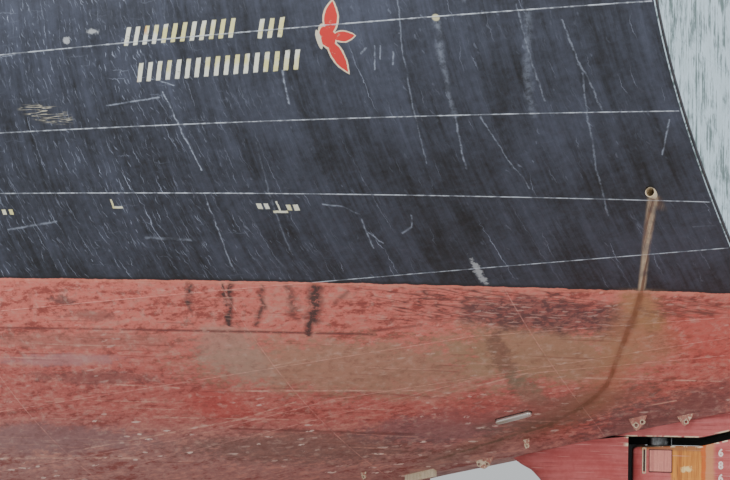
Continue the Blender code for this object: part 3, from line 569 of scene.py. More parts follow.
class Wiring:
    """Makes and joins the nodes of one material or effect."""

    def __init__(self, tree: bpy.types.NodeTree) -> None:
        """Works on this node tree."""
        self.tree = tree

    def feed(self, socket: bpy.types.NodeSocket, value: "Feed") -> None:
        """Links a socket to a value, or sets it to a plain number or colour."""
        if isinstance(value, Value):
            self.tree.links.new(value.socket, socket)
        else:
            socket.default_value = srgb(*value) if isinstance(value, tuple) else value

    def node(self, kind: str, feeds: dict[str | int, "Feed"], **settings: object) -> bpy.types.Node:
        """New node.

        Args:
            kind: its type, without the word that all shader nodes start with.
            feeds: what its inputs get, by name or number.
            settings: its other settings.

        Returns:
            The node.
        """
        made = self.tree.nodes.new(f"ShaderNode{kind}")
        for name, value in settings.items():
            setattr(made, name, value)
        for key, value in feeds.items():
            self.feed(made.inputs[key], value)
        return made

    def out(self, node: bpy.types.Node, key: str | int = 0) -> Value:
        """One output of a node."""
        return Value(self, node.outputs[key])

    def maths(self, operation: str, *values: "Feed") -> Value:
        """Result of one Math node of this operation."""
        return self.out(self.node("Math", dict(enumerate(values)), operation=operation))

    def most(self, *values: "Feed") -> Value:
        """Largest of all the values."""
        return reduce(partial(self.maths, "MAXIMUM"), values)

    def noise(
        self, where: Value, scale: "Feed" = 1.0, detail: float = 3.0, rough: float = 0.55, warp: float = 0.0
    ) -> Value:
        """Noise value about 0.5.

        Args:
            where: position it is read at.
            scale: cells a unit, which may be linked.
            detail: finer layers.
            rough: weight of the finer layers.
            warp: distortion.

        Returns:
            The noise.
        """
        feeds = {"Vector": where, "Scale": scale, "Detail": detail, "Roughness": rough, "Distortion": warp}
        return self.out(self.node("TexNoise", feeds), "Fac")

    def chance(self, cell: Value) -> list[Value]:
        """Four random values from 0 to 1 that belong to a cell's number."""
        node = self.node("TexWhiteNoise", {"W": cell}, noise_dimensions="1D")
        split = self.node("SeparateColor", {0: self.out(node, "Color")})
        return [*(self.out(split, i) for i in range(3)), self.out(node, "Value")]

    def blend(self, share: "Feed", under: "Feed", over: "Feed") -> Value:
        """Colour over another, by its share from 0 to 1."""
        node = self.node("Mix", {}, data_type="RGBA", clamp_factor=True)
        for i, value in ((0, share), (6, under), (7, over)):
            self.feed(node.inputs[i], value)
        return self.out(node, 2)

    def join(self, x: "Feed", y: "Feed", z: "Feed") -> Value:
        """Vector of three values."""
        return self.out(self.node("CombineXYZ", {0: x, 1: y, 2: z}))

    def parts(self, vector: Value) -> list[Value]:
        """The three values of a vector."""
        split = self.node("SeparateXYZ", {0: vector})
        return [self.out(split, i) for i in range(3)]

    def stretch(self, vector: Value, x: float, y: float, z: float) -> Value:
        """Position scaled along each axis."""
        node = self.node("Mapping", {"Vector": vector})
        node.inputs["Scale"].default_value = (x, y, z)
        return self.out(node)

    def curve(self, value: Value, points: Sequence[Point]) -> Value:
        """Reads a smooth curve through points.

        Args:
            value: where it is read.
            points: (place, height) in rising order of place.

        Returns:
            The height.
        """
        places, heights = zip(*points)
        start, span = places[0], places[-1] - places[0]
        low, rise = min(heights), max(heights) - min(heights)
        node = self.node("FloatCurve", {})
        line = node.mapping.curves[0]
        for i, (place, height) in enumerate(points):
            at = ((place - start) / span, (height - low) / rise)
            if i < 2:
                line.points[i].location = at
            else:
                line.points.new(*at)
        node.mapping.update()
        self.feed(node.inputs["Value"], ((value - start) / span).held())
        return self.out(node) * rise + low


Feed = Value | float | Colour


@dataclass(frozen=True)
class Effect:
    """A pattern that several finishes share, kept as one node group.

    A solid one reads a position; the others read two plain numbers, across and up.
    """

    name: str
    numbers: dict[str, float]
    build: Callable[[Wiring, SimpleNamespace], Value]
    solid: bool = False

    def tree(self) -> bpy.types.NodeTree:
        """The node group, made on first use."""
        found = bpy.data.node_groups.get(self.name)
        if found:
            return found
        tree = bpy.data.node_groups.new(self.name, "ShaderNodeTree")
        new = tree.interface.new_socket
        if self.solid:
            new(name="where", in_out="INPUT", socket_type="NodeSocketVector")
        for name, value in self.numbers.items():
            new(name=name, in_out="INPUT", socket_type="NodeSocketFloat").default_value = value
        new(name="value", in_out="OUTPUT", socket_type="NodeSocketFloat")
        w = Wiring(tree)
        inputs = tree.nodes.new("NodeGroupInput").outputs
        given = {socket.name: Value(w, socket) for socket in inputs if socket.name}
        result = self.build(w, SimpleNamespace(**given))
        outputs = tree.nodes.new("NodeGroupOutput")
        w.feed(outputs.inputs[0], result)
        return tree

    def __call__(self, w: Wiring, **feeds: Feed) -> Value:
        """The effect's result in a material, with its inputs by name."""
        return w.out(w.node("Group", feeds, node_tree=self.tree()))


def blotch_nodes(w: Wiring, g: SimpleNamespace) -> Value:
    """Cloudy variation about 0.5, broad and fine together."""
    broad = w.noise(g.where, 1.0 / g.size, 1.0, 0.5, 0.3)
    fine = w.noise(g.where, 4.3 / g.size, 3.0, 0.65)
    return broad * 0.6 + fine * 0.4


def lined_nodes(w: Wiring, g: SimpleNamespace) -> Value:
    """Position squeezed across the lines and drawn out along them."""
    leaned = w.maths("MULTIPLY_ADD", g.up, g.lean, g.across)
    across = leaned / g.spacing
    return w.join(across, 0.5, g.up / g.length)


def scratch_nodes(w: Wiring, g: SimpleNamespace) -> Value:
    """Straight tapering scratches, one to a cell of a leaning grid, each with its own place and tilt."""
    leaned = w.maths("MULTIPLY_ADD", g.up, g.lean, g.across)
    u = leaned / g.spacing
    column = w.maths("FLOOR", u)
    strip = w.maths("MULTIPLY_ADD", column, 0.731, g.seed)
    v = g.up / g.length + w.maths("SINE", strip * 91.7) * 9.0
    row = w.maths("FLOOR", v)
    first, second, third, fourth = w.chance(w.maths("MULTIPLY_ADD", row, 0.3717, strip * 5.0))
    across = u - column - 0.5
    along = v - row - 0.5
    middle = first.swing(0.6)
    tilt = second.swing(along) * 0.7
    bow = third.swing(along) * along * 1.4
    off = abs(across - (middle + tilt + bow)) * g.spacing
    reach = w.maths("MULTIPLY_ADD", third, 0.32, 0.14)
    share = along / reach
    taper = (1.0 - share * share).held()
    wide = g.width * taper + NOT_ZERO
    line = ((1.0 - off / wide) * 1.6).held()
    chance = fourth - (1.0 - g.cover)
    return line * (chance * 2.5).held()


def ripple_nodes(w: Wiring, g: SimpleNamespace) -> Value:
    """Wavy lines: the half-way contours of a drawn-out noise."""
    drawn = lined_nodes(w, g)
    lines = abs(w.noise(drawn, 1.0, 2.0, 0.6, 0.3) - 0.5)
    return (1.0 - lines / g.width).held()


def run_nodes(w: Wiring, g: SimpleNamespace) -> Value:
    """Soft run-off streaks about 0.5."""
    drawn = lined_nodes(w, g)
    return w.noise(drawn, 1.0, 2.0, 0.6) * 0.6 + w.noise(drawn, 4.1, 2.0, 0.7) * 0.4


def oval_shares(w: Wiring, g: SimpleNamespace) -> tuple[Value, Value]:
    """Place along and across a leaning oval, as shares of its half-length and half-width."""
    dx, dz = g.across - g.x, g.up - g.z
    cos, sin = w.maths("COSINE", g.turn), w.maths("SINE", g.turn)
    return (dx * cos + dz * sin) / g.half_length, (dz * cos - dx * sin) / g.half_width


def reach_nodes(w: Wiring, g: SimpleNamespace) -> Value:
    """Distance from a leaning oval's middle, where 1 is its edge."""
    a, b = oval_shares(w, g)
    return w.maths("SQRT", a * a + b * b)


def petal_nodes(w: Wiring, g: SimpleNamespace) -> Value:
    """Distance from the middle of a pointed, leaf-shaped mark, where 1 is its edge."""
    a, b = oval_shares(w, g)
    return a * a + abs(b)


def patch_nodes(w: Wiring, g: SimpleNamespace) -> Value:
    """Rubbed patch: a leaning oval with a ragged, broken edge."""
    return (reach_nodes(w, g) + g.grain.swing(g.ragged) * 2.0).ease(1.3, 0.6)


def stroke_nodes(w: Wiring, g: SimpleNamespace) -> Value:
    """One scrape from a point to another, wavering and broken by the grain."""
    wobble = g.grain.swing(g.waver)
    px, pz = g.across - g.x1 + wobble, g.up - g.z1 + wobble * 0.5
    bx, bz = g.x2 - g.x1, g.z2 - g.z1
    share = ((px * bx + pz * bz) / (bx * bx + bz * bz)).held()
    ox, oz = px - share * bx, pz - share * bz
    off = w.maths("SQRT", ox * ox + oz * oz)
    thin = (1.2 - off / g.width).held()
    return thin * g.grain.ease(0.36, 0.5, 0.25, 1.0)


def chip_nodes(w: Wiring, g: SimpleNamespace) -> Value:
    """Small flakes where the paint has come off."""
    flakes = w.noise(g.where, 1.0 / g.size, 4.0, 0.75, 0.6)
    crowd = w.noise(g.where, 0.12 / g.size, 1.0, 0.5)
    value = flakes * 0.75 + crowd * 0.25
    edge = 0.72 - g.cover * 0.3  # a wider cover lets lower values through
    return ((value - edge) * 30.0).held()


PLACE = {"across": 0.0, "up": 0.0}
LINES = {**PLACE, "lean": 0.0, "spacing": 0.1, "length": 1.0}
OVAL = {**PLACE, "x": 0.0, "z": 0.0, "half_length": 0.5, "half_width": 0.2, "turn": 0.0}
ENDS = {**PLACE, "x1": 0.0, "z1": 0.0, "x2": 1.0, "z2": 1.0}
BLOTCHES = Effect("blotches", {"size": 1.0}, blotch_nodes, True)
SCRATCHES = Effect("scratches", {**LINES, "width": 0.008, "cover": 0.5, "seed": 0.0}, scratch_nodes)
RIPPLES = Effect("ripples", {**LINES, "width": 0.05}, ripple_nodes)
RUNS = Effect("run-off streaks", LINES, run_nodes)
REACH = Effect("reach of an oval", OVAL, reach_nodes)
PETAL = Effect("reach of a leaf", OVAL, petal_nodes)
PATCH = Effect("rubbed patch", {**OVAL, "ragged": 1.0, "grain": 0.5}, patch_nodes)
STROKE = Effect("scrape", {**ENDS, "width": 0.02, "waver": 0.1, "grain": 0.5}, stroke_nodes)
CHIPS = Effect("paint chips", {"size": 0.05, "cover": 0.2}, chip_nodes, True)


@dataclass(frozen=True)
class Surface:
    """What a finish hands to its shader."""

    colour: Value
    rough: Value
    relief: Value
    depth: float
    metal: Feed = 0.0


class Ground(NamedTuple):
    """Where a finish is read, and the noises that its parts share: medium, broad and fine."""

    w: Wiring
    where: Value
    x: Value
    z: Value
    grain: Value
    cloud: Value
    fine: Value


@dataclass(frozen=True)
class Finish:
    """A paint or a metal. Each kind says how its surface is wired."""

    name: str

    def surface(self, w: Wiring, where: Value) -> Surface:
        """Wires the surface at a position; each kind has its own."""
        raise NotImplementedError

    def material(self) -> bpy.types.Material:
        """The material, made on first use."""
        found = bpy.data.materials.get(self.name)
        if found:
            return found
        made = bpy.data.materials.new(self.name)
        made.use_nodes = True
        w = Wiring(made.node_tree)
        surface = self.surface(w, w.out(w.node("TexCoord", {}), "Object"))
        bump = w.node("Bump", {"Distance": surface.depth, "Height": surface.relief})
        shader = made.node_tree.nodes["Principled BSDF"].inputs
        w.feed(shader["Base Color"], surface.colour)
        w.feed(shader["Roughness"], surface.rough)
        w.feed(shader["Metallic"], surface.metal)
        w.feed(shader["Normal"], w.out(bump))
        return made


@dataclass(frozen=True)
class Scrape:
    """One scrape or drawn line from (x1, z1) to (x2, z2), with its width and strength."""

    x1: float
    z1: float
    x2: float
    z2: float
    width: float = 0.02
    strength: float = 0.6
    waver: float = 0.1


# Pale scrapes on the topsides, where the photograph shows them
TOPSIDE_SCRAPES = tuple(
    Scrape(*row)
    for row in (
        (7.79, 2.42, 7.92, 1.95, 0.012, 0.9), (7.92, 1.95, 8.04, 1.42, 0.012, 0.9),
        (7.62, 2.6, 7.98, 2.5, 0.01, 0.7), (7.95, 1.12, 7.94, 0.66, 0.012, 0.7),
        (7.94, 0.66, 7.87, 0.12, 0.012, 0.6), (6.89, 2.27, 7.74, 2.36, 0.012, 0.7),
        (4.82, 0.66, 5.62, 0.77, 0.016, 0.5), (6.85, 0.55, 7.49, 0.53, 0.02, 0.4),
        (9.57, 2.62, 9.55, 2.22, 0.016, 0.8), (10.7, 2.8, 10.78, 2.86, 0.014, 0.7),
        (10.9, 2.88, 10.84, 2.6, 0.012, 0.7), (10.98, 2.88, 10.94, 2.72, 0.01, 0.6),
        (11.14, 2.8, 11.1, 2.66, 0.014, 0.6), (11.79, 3.17, 11.76, 2.69, 0.055, 0.34, 0.2),
        (11.76, 2.69, 11.73, 2.03, 0.04, 0.26, 0.2), (11.73, 2.03, 11.63, 1.42, 0.015, 0.6),
        (11.34, 3.5, 11.15, 1.49, 0.012, 0.4), (9.54, 0.99, 9.78, 0.96, 0.012, 0.7),
        (9.78, 0.96, 9.97, 0.86, 0.012, 0.5), (9.97, 0.8, 9.96, 0.46, 0.014, 0.6),
        (9.98, 0.66, 10.12, 0.52, 0.012, 0.6), (10.43, 0.64, 10.6, 0.72, 0.012, 0.5),
        (10.6, 0.72, 10.66, 0.86, 0.012, 0.6), (14.4, 1.98, 14.17, 1.6, 0.012, 0.7),
        (8.93, 1.75, 8.8, 0.35, 0.014, 0.25), (12.4, 4.6, 12.2, 3.4, 0.05, 0.22, 0.3),
        (12.98, 3.2, 12.72, 2.05, 0.06, 0.22, 0.3), (12.86, 3.3, 12.93, 2.2, 0.014, 0.45),
        (13.4, 3.1, 13.62, 2.1, 0.014, 0.45), (13.5, 2.5, 13.2, 0.9, 0.014, 0.4),
        (12.05, 2.02, 12.35, 1.2, 0.012, 0.5), (5.75, 3.02, 4.4, 2.98, 0.008, 0.5),
        (14.2, 0.78, 14.5, 0.8, 0.01, 0.3),
    )
)

# Dark fender rubs that branch down from the paint line
BRANCH_RUBS = tuple(
    Scrape(*row)
    for row in (
        (7.16, -0.04, 6.98, -0.3, 0.05, 0.7, 0.3), (7.0, -0.25, 6.9, -0.47, 0.03, 0.6, 0.3),
        (7.6, -0.06, 7.48, -0.34, 0.035, 0.7, 0.3), (7.72, -0.05, 7.36, -0.59, 0.05, 0.75, 0.4),
        (8.14, -0.07, 8.0, -0.34, 0.045, 0.6, 0.3), (8.02, -0.3, 7.74, -0.58, 0.035, 0.6, 0.4),
        (8.52, -0.05, 8.4, -0.42, 0.09, 0.5, 0.5), (8.9, -0.04, 8.62, -0.45, 0.1, 0.85, 0.4),
        (8.64, -0.4, 8.36, -0.7, 0.045, 0.8, 0.3), (9.3, -0.1, 9.02, -0.26, 0.03, 0.4, 0.4),
    )
)


@dataclass(frozen=True)
class Rub:
    """One rubbed or stained patch, in (x, z), with its colour and strength."""

    at: Point
    half: Point
    colour: Colour
    turn: float = 0.0
    ragged: float = 1.2
    strength: float = 0.7


@dataclass(frozen=True)
class Marks:
    """Painted marks on the topsides, in (x, z): hatched bands, tank marks and a screw figure."""

    pitch: float = 0.142
    fill: float = 0.46
    lean: float = -0.35
    bands: tuple[tuple[float, float, float, float, float], ...] = (
        (7.3, 9.1, 3.04, 3.28, 0.02), (9.29, 9.83, 3.04, 3.28, 0.02), (7.38, 9.89, 2.56, 2.8, 0.032)
    )
    blocks: tuple[tuple[float, float, float, float], ...] = (
        (6.56, 1.0, 0.013, 0.055), (6.62, 0.95, 0.075, 0.014), (8.66, 0.96, 0.035, 0.035),
        (8.76, 0.96, 0.03, 0.035), (9.06, 0.945, 0.03, 0.035), (9.16, 0.945, 0.035, 0.035),
        (8.92, 0.955, 0.012, 0.07), (8.92, 0.892, 0.1, 0.013), (4.86, 0.9, 0.03, 0.035),
        (4.97, 0.9, 0.03, 0.035),
    )


MARKS = Marks()


@dataclass(frozen=True)
class HullPaint(Finish):
    """Slate topsides over worn red antifouling, with the marks and stains where they lie."""

    name: str = "hull paint"
    worn: float = 0.0

    def surface(self, w: Wiring, where: Value) -> Surface:
        """Joins the topsides to the underbody at the paint line."""
        x, _, z = w.parts(where)
        grain = w.noise(where, 3.0, 4.0, 0.68)
        wave = grain.swing(0.05)
        height = z - wave
        above = height.ease(-0.006, 0.006)
        cloud = BLOTCHES(w, where=where, size=1.5)
        fine = w.noise(w.stretch(where, 9.0, 12.0, 10.0), 1.0, 3.0, 0.72)
        at = Ground(w, where, x, z, grain, cloud, fine)
        top = self.topsides(at)
        under = self.underbody(at)
        colour = w.blend(above, under, top)
        lip = height.ease(-0.002, 0.003) * height.ease(0.05, 0.012)
        colour = w.blend(lip * 0.75, colour, (20, 20, 24))
        below = height.ease(0.002, -0.003) * height.ease(-0.06, -0.01)
        colour = w.blend(below * 0.5, colour, (232, 140, 116))
        if self.worn:
            flaked = w.noise(where, 6.0, 3.0, 0.7).ease(0.4, 0.6, 0.22, 1.0)
            bare = w.blend(above, (222, 160, 146), (186, 194, 206))
            colour = w.blend(flaked * z.ease(-0.02, 0.02, 0.5, 1.0) * self.worn, colour, bare)
        stain, strength = self.rust_streak(at)
        colour = w.blend(strength, colour, stain)
        relief = cloud * 0.6 + fine * z.ease(0.02, -0.02, 0.2, 0.4)
        rough = grain * 0.25 + above * -0.1 + 0.46
        return Surface(colour, rough, relief, 0.012)

    def scrapes(self, at: Ground, broken: Value, lines: Iterable[Scrape]) -> Value:
        """Mask of several scrapes, broken up by a noise: the strongest of them at each place."""
        strongest: Feed = 0.0
        for line in lines:
            ends = {"x1": line.x1, "z1": line.z1, "x2": line.x2, "z2": line.z2}
            size = {"width": line.width, "waver": line.waver, "grain": broken}
            mark = STROKE(at.w, across=at.x, up=at.z, **ends, **size)
            strongest = at.w.most(strongest, mark * line.strength)
        return strongest

    def topsides(self, at: Ground) -> Value:
        """Colour of the slate topsides."""
        w, _, x, z, grain, cloud, fine = at
        runs = RUNS(w, across=x, up=z, spacing=0.17, length=2.2, lean=0.06)
        high = z.ease(-0.4, 4.8)
        forward = x.ease(10.5, 4.0, 0.0, 0.5)
        tone = 0.26 + high * 0.17 + forward * 0.1 + cloud.swing(1.1) + fine.swing(0.55) + runs.swing(1.3)
        colour = w.blend(tone, (17, 19, 24), (80, 86, 104))
        left = x.ease(9.9, 6.4, 0.1, 1.0)
        broken = grain.ease(0.36, 0.58, 0.25, 1.0) * cloud.ease(0.4, 0.6, 0.45, 1.15)
        layers = (
            (0.11, 0.5, 0.26, 0.008, 0.42, 1.0, 0.8, True), (0.07, 0.24, 0.1, 0.007, 0.42, 2.0, 0.75, True),
            (0.05, 0.12, 0.34, 0.009, 0.34, 3.0, 0.8, True), (0.3, 1.6, 0.15, 0.007, 0.4, 4.0, 0.75, False),
            (0.16, 0.42, 0.04, 0.007, 0.26, 5.0, 0.65, False), (0.1, 0.09, 0.3, 0.018, 0.1, 6.0, 0.9, False),
        )
        bent = x + grain.swing(0.17)
        scuff: Feed = 0.0
        for spacing, length, lean, width, cover, seed, strength, gated in layers:
            lines = SCRATCHES(
                w, across=bent, up=z, spacing=spacing, length=length, lean=lean, width=width, cover=cover,
                seed=seed,
            )
            lines *= strength
            scuff = w.most(scuff, lines * left if gated else lines)
        level = SCRATCHES(
            w, across=z + grain.swing(0.16), up=x, spacing=0.11, length=0.45, width=0.008, cover=0.24,
            seed=8.0,
        )
        scuff = w.most(scuff, level * left * 0.5) * broken
        colour = w.blend(scuff, colour, (160, 170, 192))
        wavy = PATCH(
            w, across=x, up=z, x=5.96, z=2.19, half_length=0.34, half_width=0.11, turn=-0.2, ragged=0.7,
            grain=grain,
        )
        wavy *= RIPPLES(w, across=z, up=x, spacing=0.04, length=0.5, width=0.035)
        colour = w.blend(wavy * 0.9, colour, (206, 200, 176))
        streaks = self.scrapes(at, grain, TOPSIDE_SCRAPES)
        colour = w.blend(streaks * fine.ease(0.38, 0.56, 0.3, 0.95), colour, (156, 166, 184))
        for ax, az, half_x, half_z in (
            (11.18, 0.18, 0.05, 0.16), (6.43, 3.17, 0.05, 0.05), (6.86, 3.26, 0.08, 0.035)
        ):
            patch = PATCH(
                w, across=x, up=z, x=ax, z=az, half_length=half_x, half_width=half_z, ragged=1.6, grain=fine
            )
            colour = w.blend(patch * 0.75, colour, (176, 180, 184))
        knob = REACH(w, across=x, up=z, x=11.79, z=3.19, half_length=0.055, half_width=0.045)
        colour = w.blend(knob.ease(1.1, 0.7), colour, (196, 190, 150))
        return self.marks(at, colour)

    def marks(self, at: Ground, colour: Value) -> Value:
        """Colour with the paint marks on it: hatched bands, small tank marks and a red screw figure."""
        w, where, x, z, _, _, fine = at
        shiver = fine.swing(0.025)
        xs, zs = x + shiver, z + shiver
        slant = xs + zs * MARKS.lean
        bars = w.maths("FRACT", slant / MARKS.pitch)
        bars = bars.ease(0.0, 0.06) * bars.ease(MARKS.fill + 0.05, MARKS.fill)
        painted: Feed = 0.0
        for start, end, low, high, climb in MARKS.bands:
            lift = zs - (xs - start) * climb
            rows = lift.ease(low - 0.008, low + 0.008) * lift.ease(high + 0.008, high - 0.008)
            middle = MARKS.lean * (low + high) / 2.0
            first = math.ceil((start + middle) / MARKS.pitch) * MARKS.pitch
            last = math.floor((end + middle) / MARKS.pitch) * MARKS.pitch
            ends = slant.ease(first - 0.01, first) * slant.ease(last, last - 0.01)
            painted = w.most(painted, rows * ends * bars)
        for ax, az, half_x, half_z in MARKS.blocks:
            wide = abs(xs - ax).ease(half_x + 0.005, half_x - 0.005)
            tall = abs(zs - az).ease(half_z + 0.005, half_z - 0.005)
            painted = w.most(painted, wide * tall)
        wear = fine.ease(0.26, 0.38, 0.3, 1.0)
        age = w.noise(where, 2.1, 2.0, 0.6).ease(0.47, 0.6)
        rusty = w.noise(w.stretch(where, 3.4, 1.0, 2.2), 1.0, 1.0, 0.6).ease(0.62, 0.7)
        cream = w.blend(age * 0.85, (226, 228, 212), (222, 214, 132))
        cream = w.blend(rusty * 0.8, cream, (214, 160, 78))
        colour = w.blend(painted * wear, colour, cream)
        nearest: Feed = 9.0
        for ax, az, half_long, half_wide, turn in (
            (10.375, 3.24, 0.235, 0.095, 1.30),
            (10.375, 2.80, 0.25, 0.085, -1.16),
            (10.50, 3.015, 0.17, 0.065, 0.02),
            (10.285, 3.01, 0.13, 0.15, 0.3),
        ):
            petal = PETAL(
                w, across=xs, up=zs, x=ax, z=az, half_length=half_long, half_width=half_wide, turn=turn
            )
            nearest = w.maths("MINIMUM", nearest, petal)
        edge = nearest.ease(1.24, 1.12) * wear
        colour = w.blend(edge, colour, (226, 204, 172))
        colour = w.blend(nearest.ease(0.98, 0.88) * wear, colour, (202, 50, 46))
        plate = REACH(w, across=xs, up=zs, x=10.165, z=2.99, half_length=0.035, half_width=0.12, turn=0.12)
        return w.blend(plate.ease(1.05, 0.95), colour, (206, 198, 176))

    def underbody(self, at: Ground) -> Value:
        """Colour of the worn antifouling."""
        w, where, x, z, grain, cloud, fine = at
        level = w.noise(w.stretch(where, 0.45, 5.0, 8.0), 1.0, 4.0, 0.68)
        colour = w.blend(z.ease(-0.45, -1.5), (212, 114, 102), (186, 98, 90))
        colour = w.blend(z.ease(-1.75, -2.5), colour, (160, 116, 110))
        colour = w.blend(z.ease(-2.9, -3.8), colour, (172, 92, 86))
        tone = cloud.swing(1.3) + level.swing(2.4) + fine.swing(2.2) + 0.5
        colour = w.blend(tone.ease(0.5, 1.05) * 0.6, colour, (204, 142, 126))
        colour = w.blend(tone.ease(0.48, 0.0) * 0.75, colour, (128, 54, 48))
        mottle = grain * 0.5 + fine * 0.5
        for rub in UNDERBODY_RUBS:
            mask = PATCH(
                w, across=x, up=z, x=rub.at[0], z=rub.at[1], half_length=rub.half[0], half_width=rub.half[1],
                turn=rub.turn, ragged=rub.ragged, grain=mottle,
            )
            colour = w.blend(mask * rub.strength, colour, rub.colour)
        brushed = w.noise(w.stretch(where, 7.0, 7.0, 0.7), 1.0, 3.0, 0.7)
        seen = z.ease(-3.3, -2.5, 0.25, 1.0)
        colour = w.blend(brushed.ease(0.52, 0.72) * seen * 0.32, colour, (206, 176, 160))
        colour = w.blend(brushed.ease(0.48, 0.3) * seen * 0.34, colour, (108, 66, 58))
        colour = self.fender_rubs(at, colour)
        dark = SCRATCHES(w, across=z, up=x, spacing=0.08, length=1.4, width=0.012, cover=0.45, seed=21.0)
        colour = w.blend(dark * 0.4, colour, (112, 58, 54))
        pale = SCRATCHES(w, across=z, up=x, spacing=0.1, length=1.7, width=0.01, cover=0.4, seed=22.0)
        short = SCRATCHES(w, across=z, up=x, spacing=0.05, length=0.35, width=0.008, cover=0.35, seed=23.0)
        pale = w.most(pale * 0.6, short * 0.45) * fine.ease(0.36, 0.56, 0.2, 1.0)
        colour = w.blend(pale, colour, (214, 162, 144))
        lines = self.scrapes(at, fine, OLD_DARK_LINES)
        colour = w.blend(lines, colour, (96, 52, 50))
        lines = self.scrapes(at, fine, OLD_PALE_LINES) * grain.ease(0.4, 0.58, 0.15, 1.0)
        colour = w.blend(lines, colour, (226, 180, 160))
        low = z.ease(-1.1, -2.3, 0.3, 1.0)
        slanted = z + x * -0.16
        flakes = SCRATCHES(
            w, across=slanted, up=x, spacing=0.085, length=0.22, width=0.017, cover=0.42, seed=24.0
        )
        crowd = w.noise(where, 0.9, 1.0, 0.5).ease(0.44, 0.56)
        flakes = flakes * crowd * low * fine.ease(0.42, 0.5)
        specks = CHIPS(w, where=w.stretch(where, 0.6, 1.0, 1.2), size=0.055, cover=0.085)
        return w.blend(w.most(flakes, specks * 0.9) * 0.95, colour, (238, 216, 202))

    def fender_rubs(self, at: Ground, colour: Value) -> Value:
        """Colour with dark fender rubs under the paint line: branching forward, wavy and dashed aft."""
        w, _, x, z, grain, _, fine = at
        top = z.ease(0.0, -0.05)
        branches = self.scrapes(at, grain, BRANCH_RUBS)
        branches = branches * fine.ease(0.36, 0.5, 0.5, 1.35)
        colour = w.blend(w.maths("MINIMUM", branches, 0.95), colour, (66, 50, 48))
        wave = RIPPLES(w, across=z, up=x, spacing=0.1, length=0.8, lean=0.1, width=0.045)
        band = z.ease(-0.62, -0.35) * top * x.ease(8.9, 9.9)
        band = band * x.ease(13.0, 12.2) * grain.ease(0.3, 0.5)
        colour = w.blend(wave * band * 0.95, colour, (100, 62, 58))
        scribble = PATCH(
            w, across=x, up=z, x=13.62, z=-0.2, half_length=0.55, half_width=0.13, turn=0.06, ragged=1.0,
            grain=grain,
        )
        wave = RIPPLES(w, across=z, up=x, spacing=0.035, length=0.5, lean=0.1, width=0.12)
        colour = w.blend(wave * scribble * 0.85, colour, (96, 60, 52))
        dark = PATCH(
            w, across=x, up=z, x=11.75, z=-0.36, half_length=1.15, half_width=0.24, turn=0.0, ragged=0.8,
            grain=grain,
        )
        colour = w.blend(dark * top * fine.ease(0.4, 0.56, 0.95, 0.6), colour, (98, 64, 64))
        bent = z + grain.swing(0.08)
        dash = SCRATCHES(w, across=bent, up=x, spacing=0.04, length=0.3, width=0.01, cover=0.8, seed=31.0)
        colour = w.blend(dash * dark * 0.8, colour, (190, 148, 136))
        return colour

    def rust_streak(self, at: Ground) -> tuple[Value, Value]:
        """Colour and strength of the stain from the scupper pipe down and forward along the bilge."""
        w, _, x, z, grain, _, _ = at
        wobble = grain.swing(0.06)
        middle = w.curve(x, STREAK_LINE)
        width = w.curve(x, STREAK_WIDTH)
        off = z - middle + wobble
        share = abs(off) / width
        core = share.ease(1.0, 0.25) * grain.ease(0.34, 0.58, 0.55, 1.0)
        bleed = share.ease(6.0, 0.6) * z.ease(0.05, -0.02) * grain.ease(0.3, 0.6, 0.35, 0.6)
        fibres = RUNS(w, across=x, up=z, spacing=0.035, length=0.9, lean=-0.7)
        ends = x.ease(7.9, 9.2) * z.ease(1.16, 1.1) * x.ease(14.0, 13.86)
        strength = w.most(core, bleed) * fibres.ease(0.2, 0.55, 0.6, 1.0) * ends
        pale = w.blend(fibres.ease(0.42, 0.58), (132, 96, 72), (196, 172, 144))
        brown = w.blend(share.ease(1.2, 0.3), (170, 122, 88), (128, 78, 50))
        colour = w.blend(z.ease(-0.05, 0.06), brown, pale)
        colour = w.blend(x.ease(12.4, 10.6), colour, (94, 72, 54))
        return colour, strength * 0.9


# The stain's middle, as (x, height), and its half-width in height
STREAK_LINE = (
    (8.12, -2.6), (9.25, -2.29), (10.03, -2.06), (10.5, -1.93), (11.0, -1.76), (11.5, -1.53), (11.89, -1.31),
    (12.22, -1.02), (12.66, -0.57), (12.98, -0.24), (13.17, 0.0), (13.56, 0.62), (13.84, 1.08),
)
STREAK_WIDTH = (
    (8.12, 0.025), (10.0, 0.03), (11.5, 0.045), (12.6, 0.075), (13.1, 0.09), (13.6, 0.13), (13.84, 0.15)
)

# Level lines that show through the antifouling, dark ones and pale ones
OLD_DARK_LINES = tuple(
    Scrape(*row)
    for row in (
        (2.5, -0.7, 6.0, -0.685, 0.02, 0.7, 0.04), (6.0, -0.685, 9.3, -0.665, 0.022, 0.8, 0.04),
        (6.2, -2.09, 8.7, -2.08, 0.022, 0.6, 0.04), (9.3, -0.62, 10.0, -0.52, 0.02, 0.6, 0.1),
        (8.3, -1.48, 9.6, -1.52, 0.02, 0.4, 0.1),
    )
)
OLD_PALE_LINES = tuple(
    Scrape(*row)
    for row in (
        (6.77, -1.52, 9.49, -1.42, 0.012, 0.7, 0.04), (4.9, -1.47, 6.0, -1.5, 0.012, 0.6, 0.04),
        (11.51, -1.17, 13.6, -1.16, 0.012, 0.8, 0.04), (5.3, -1.95, 6.9, -1.93, 0.01, 0.5, 0.04),
        (1.8, -2.7, 4.6, -2.6, 0.02, 0.7, 0.04), (3.5, -2.55, 6.47, -1.94, 0.01, 0.6, 0.03),
        (6.47, -1.94, 7.47, -1.65, 0.01, 0.6, 0.03), (7.53, -1.15, 9.0, -0.85, 0.01, 0.6, 0.03),
        (9.4, -1.52, 11.0, -1.13, 0.01, 0.6, 0.03), (12.3, -1.55, 12.8, -1.45, 0.01, 0.6, 0.04),
    )
)

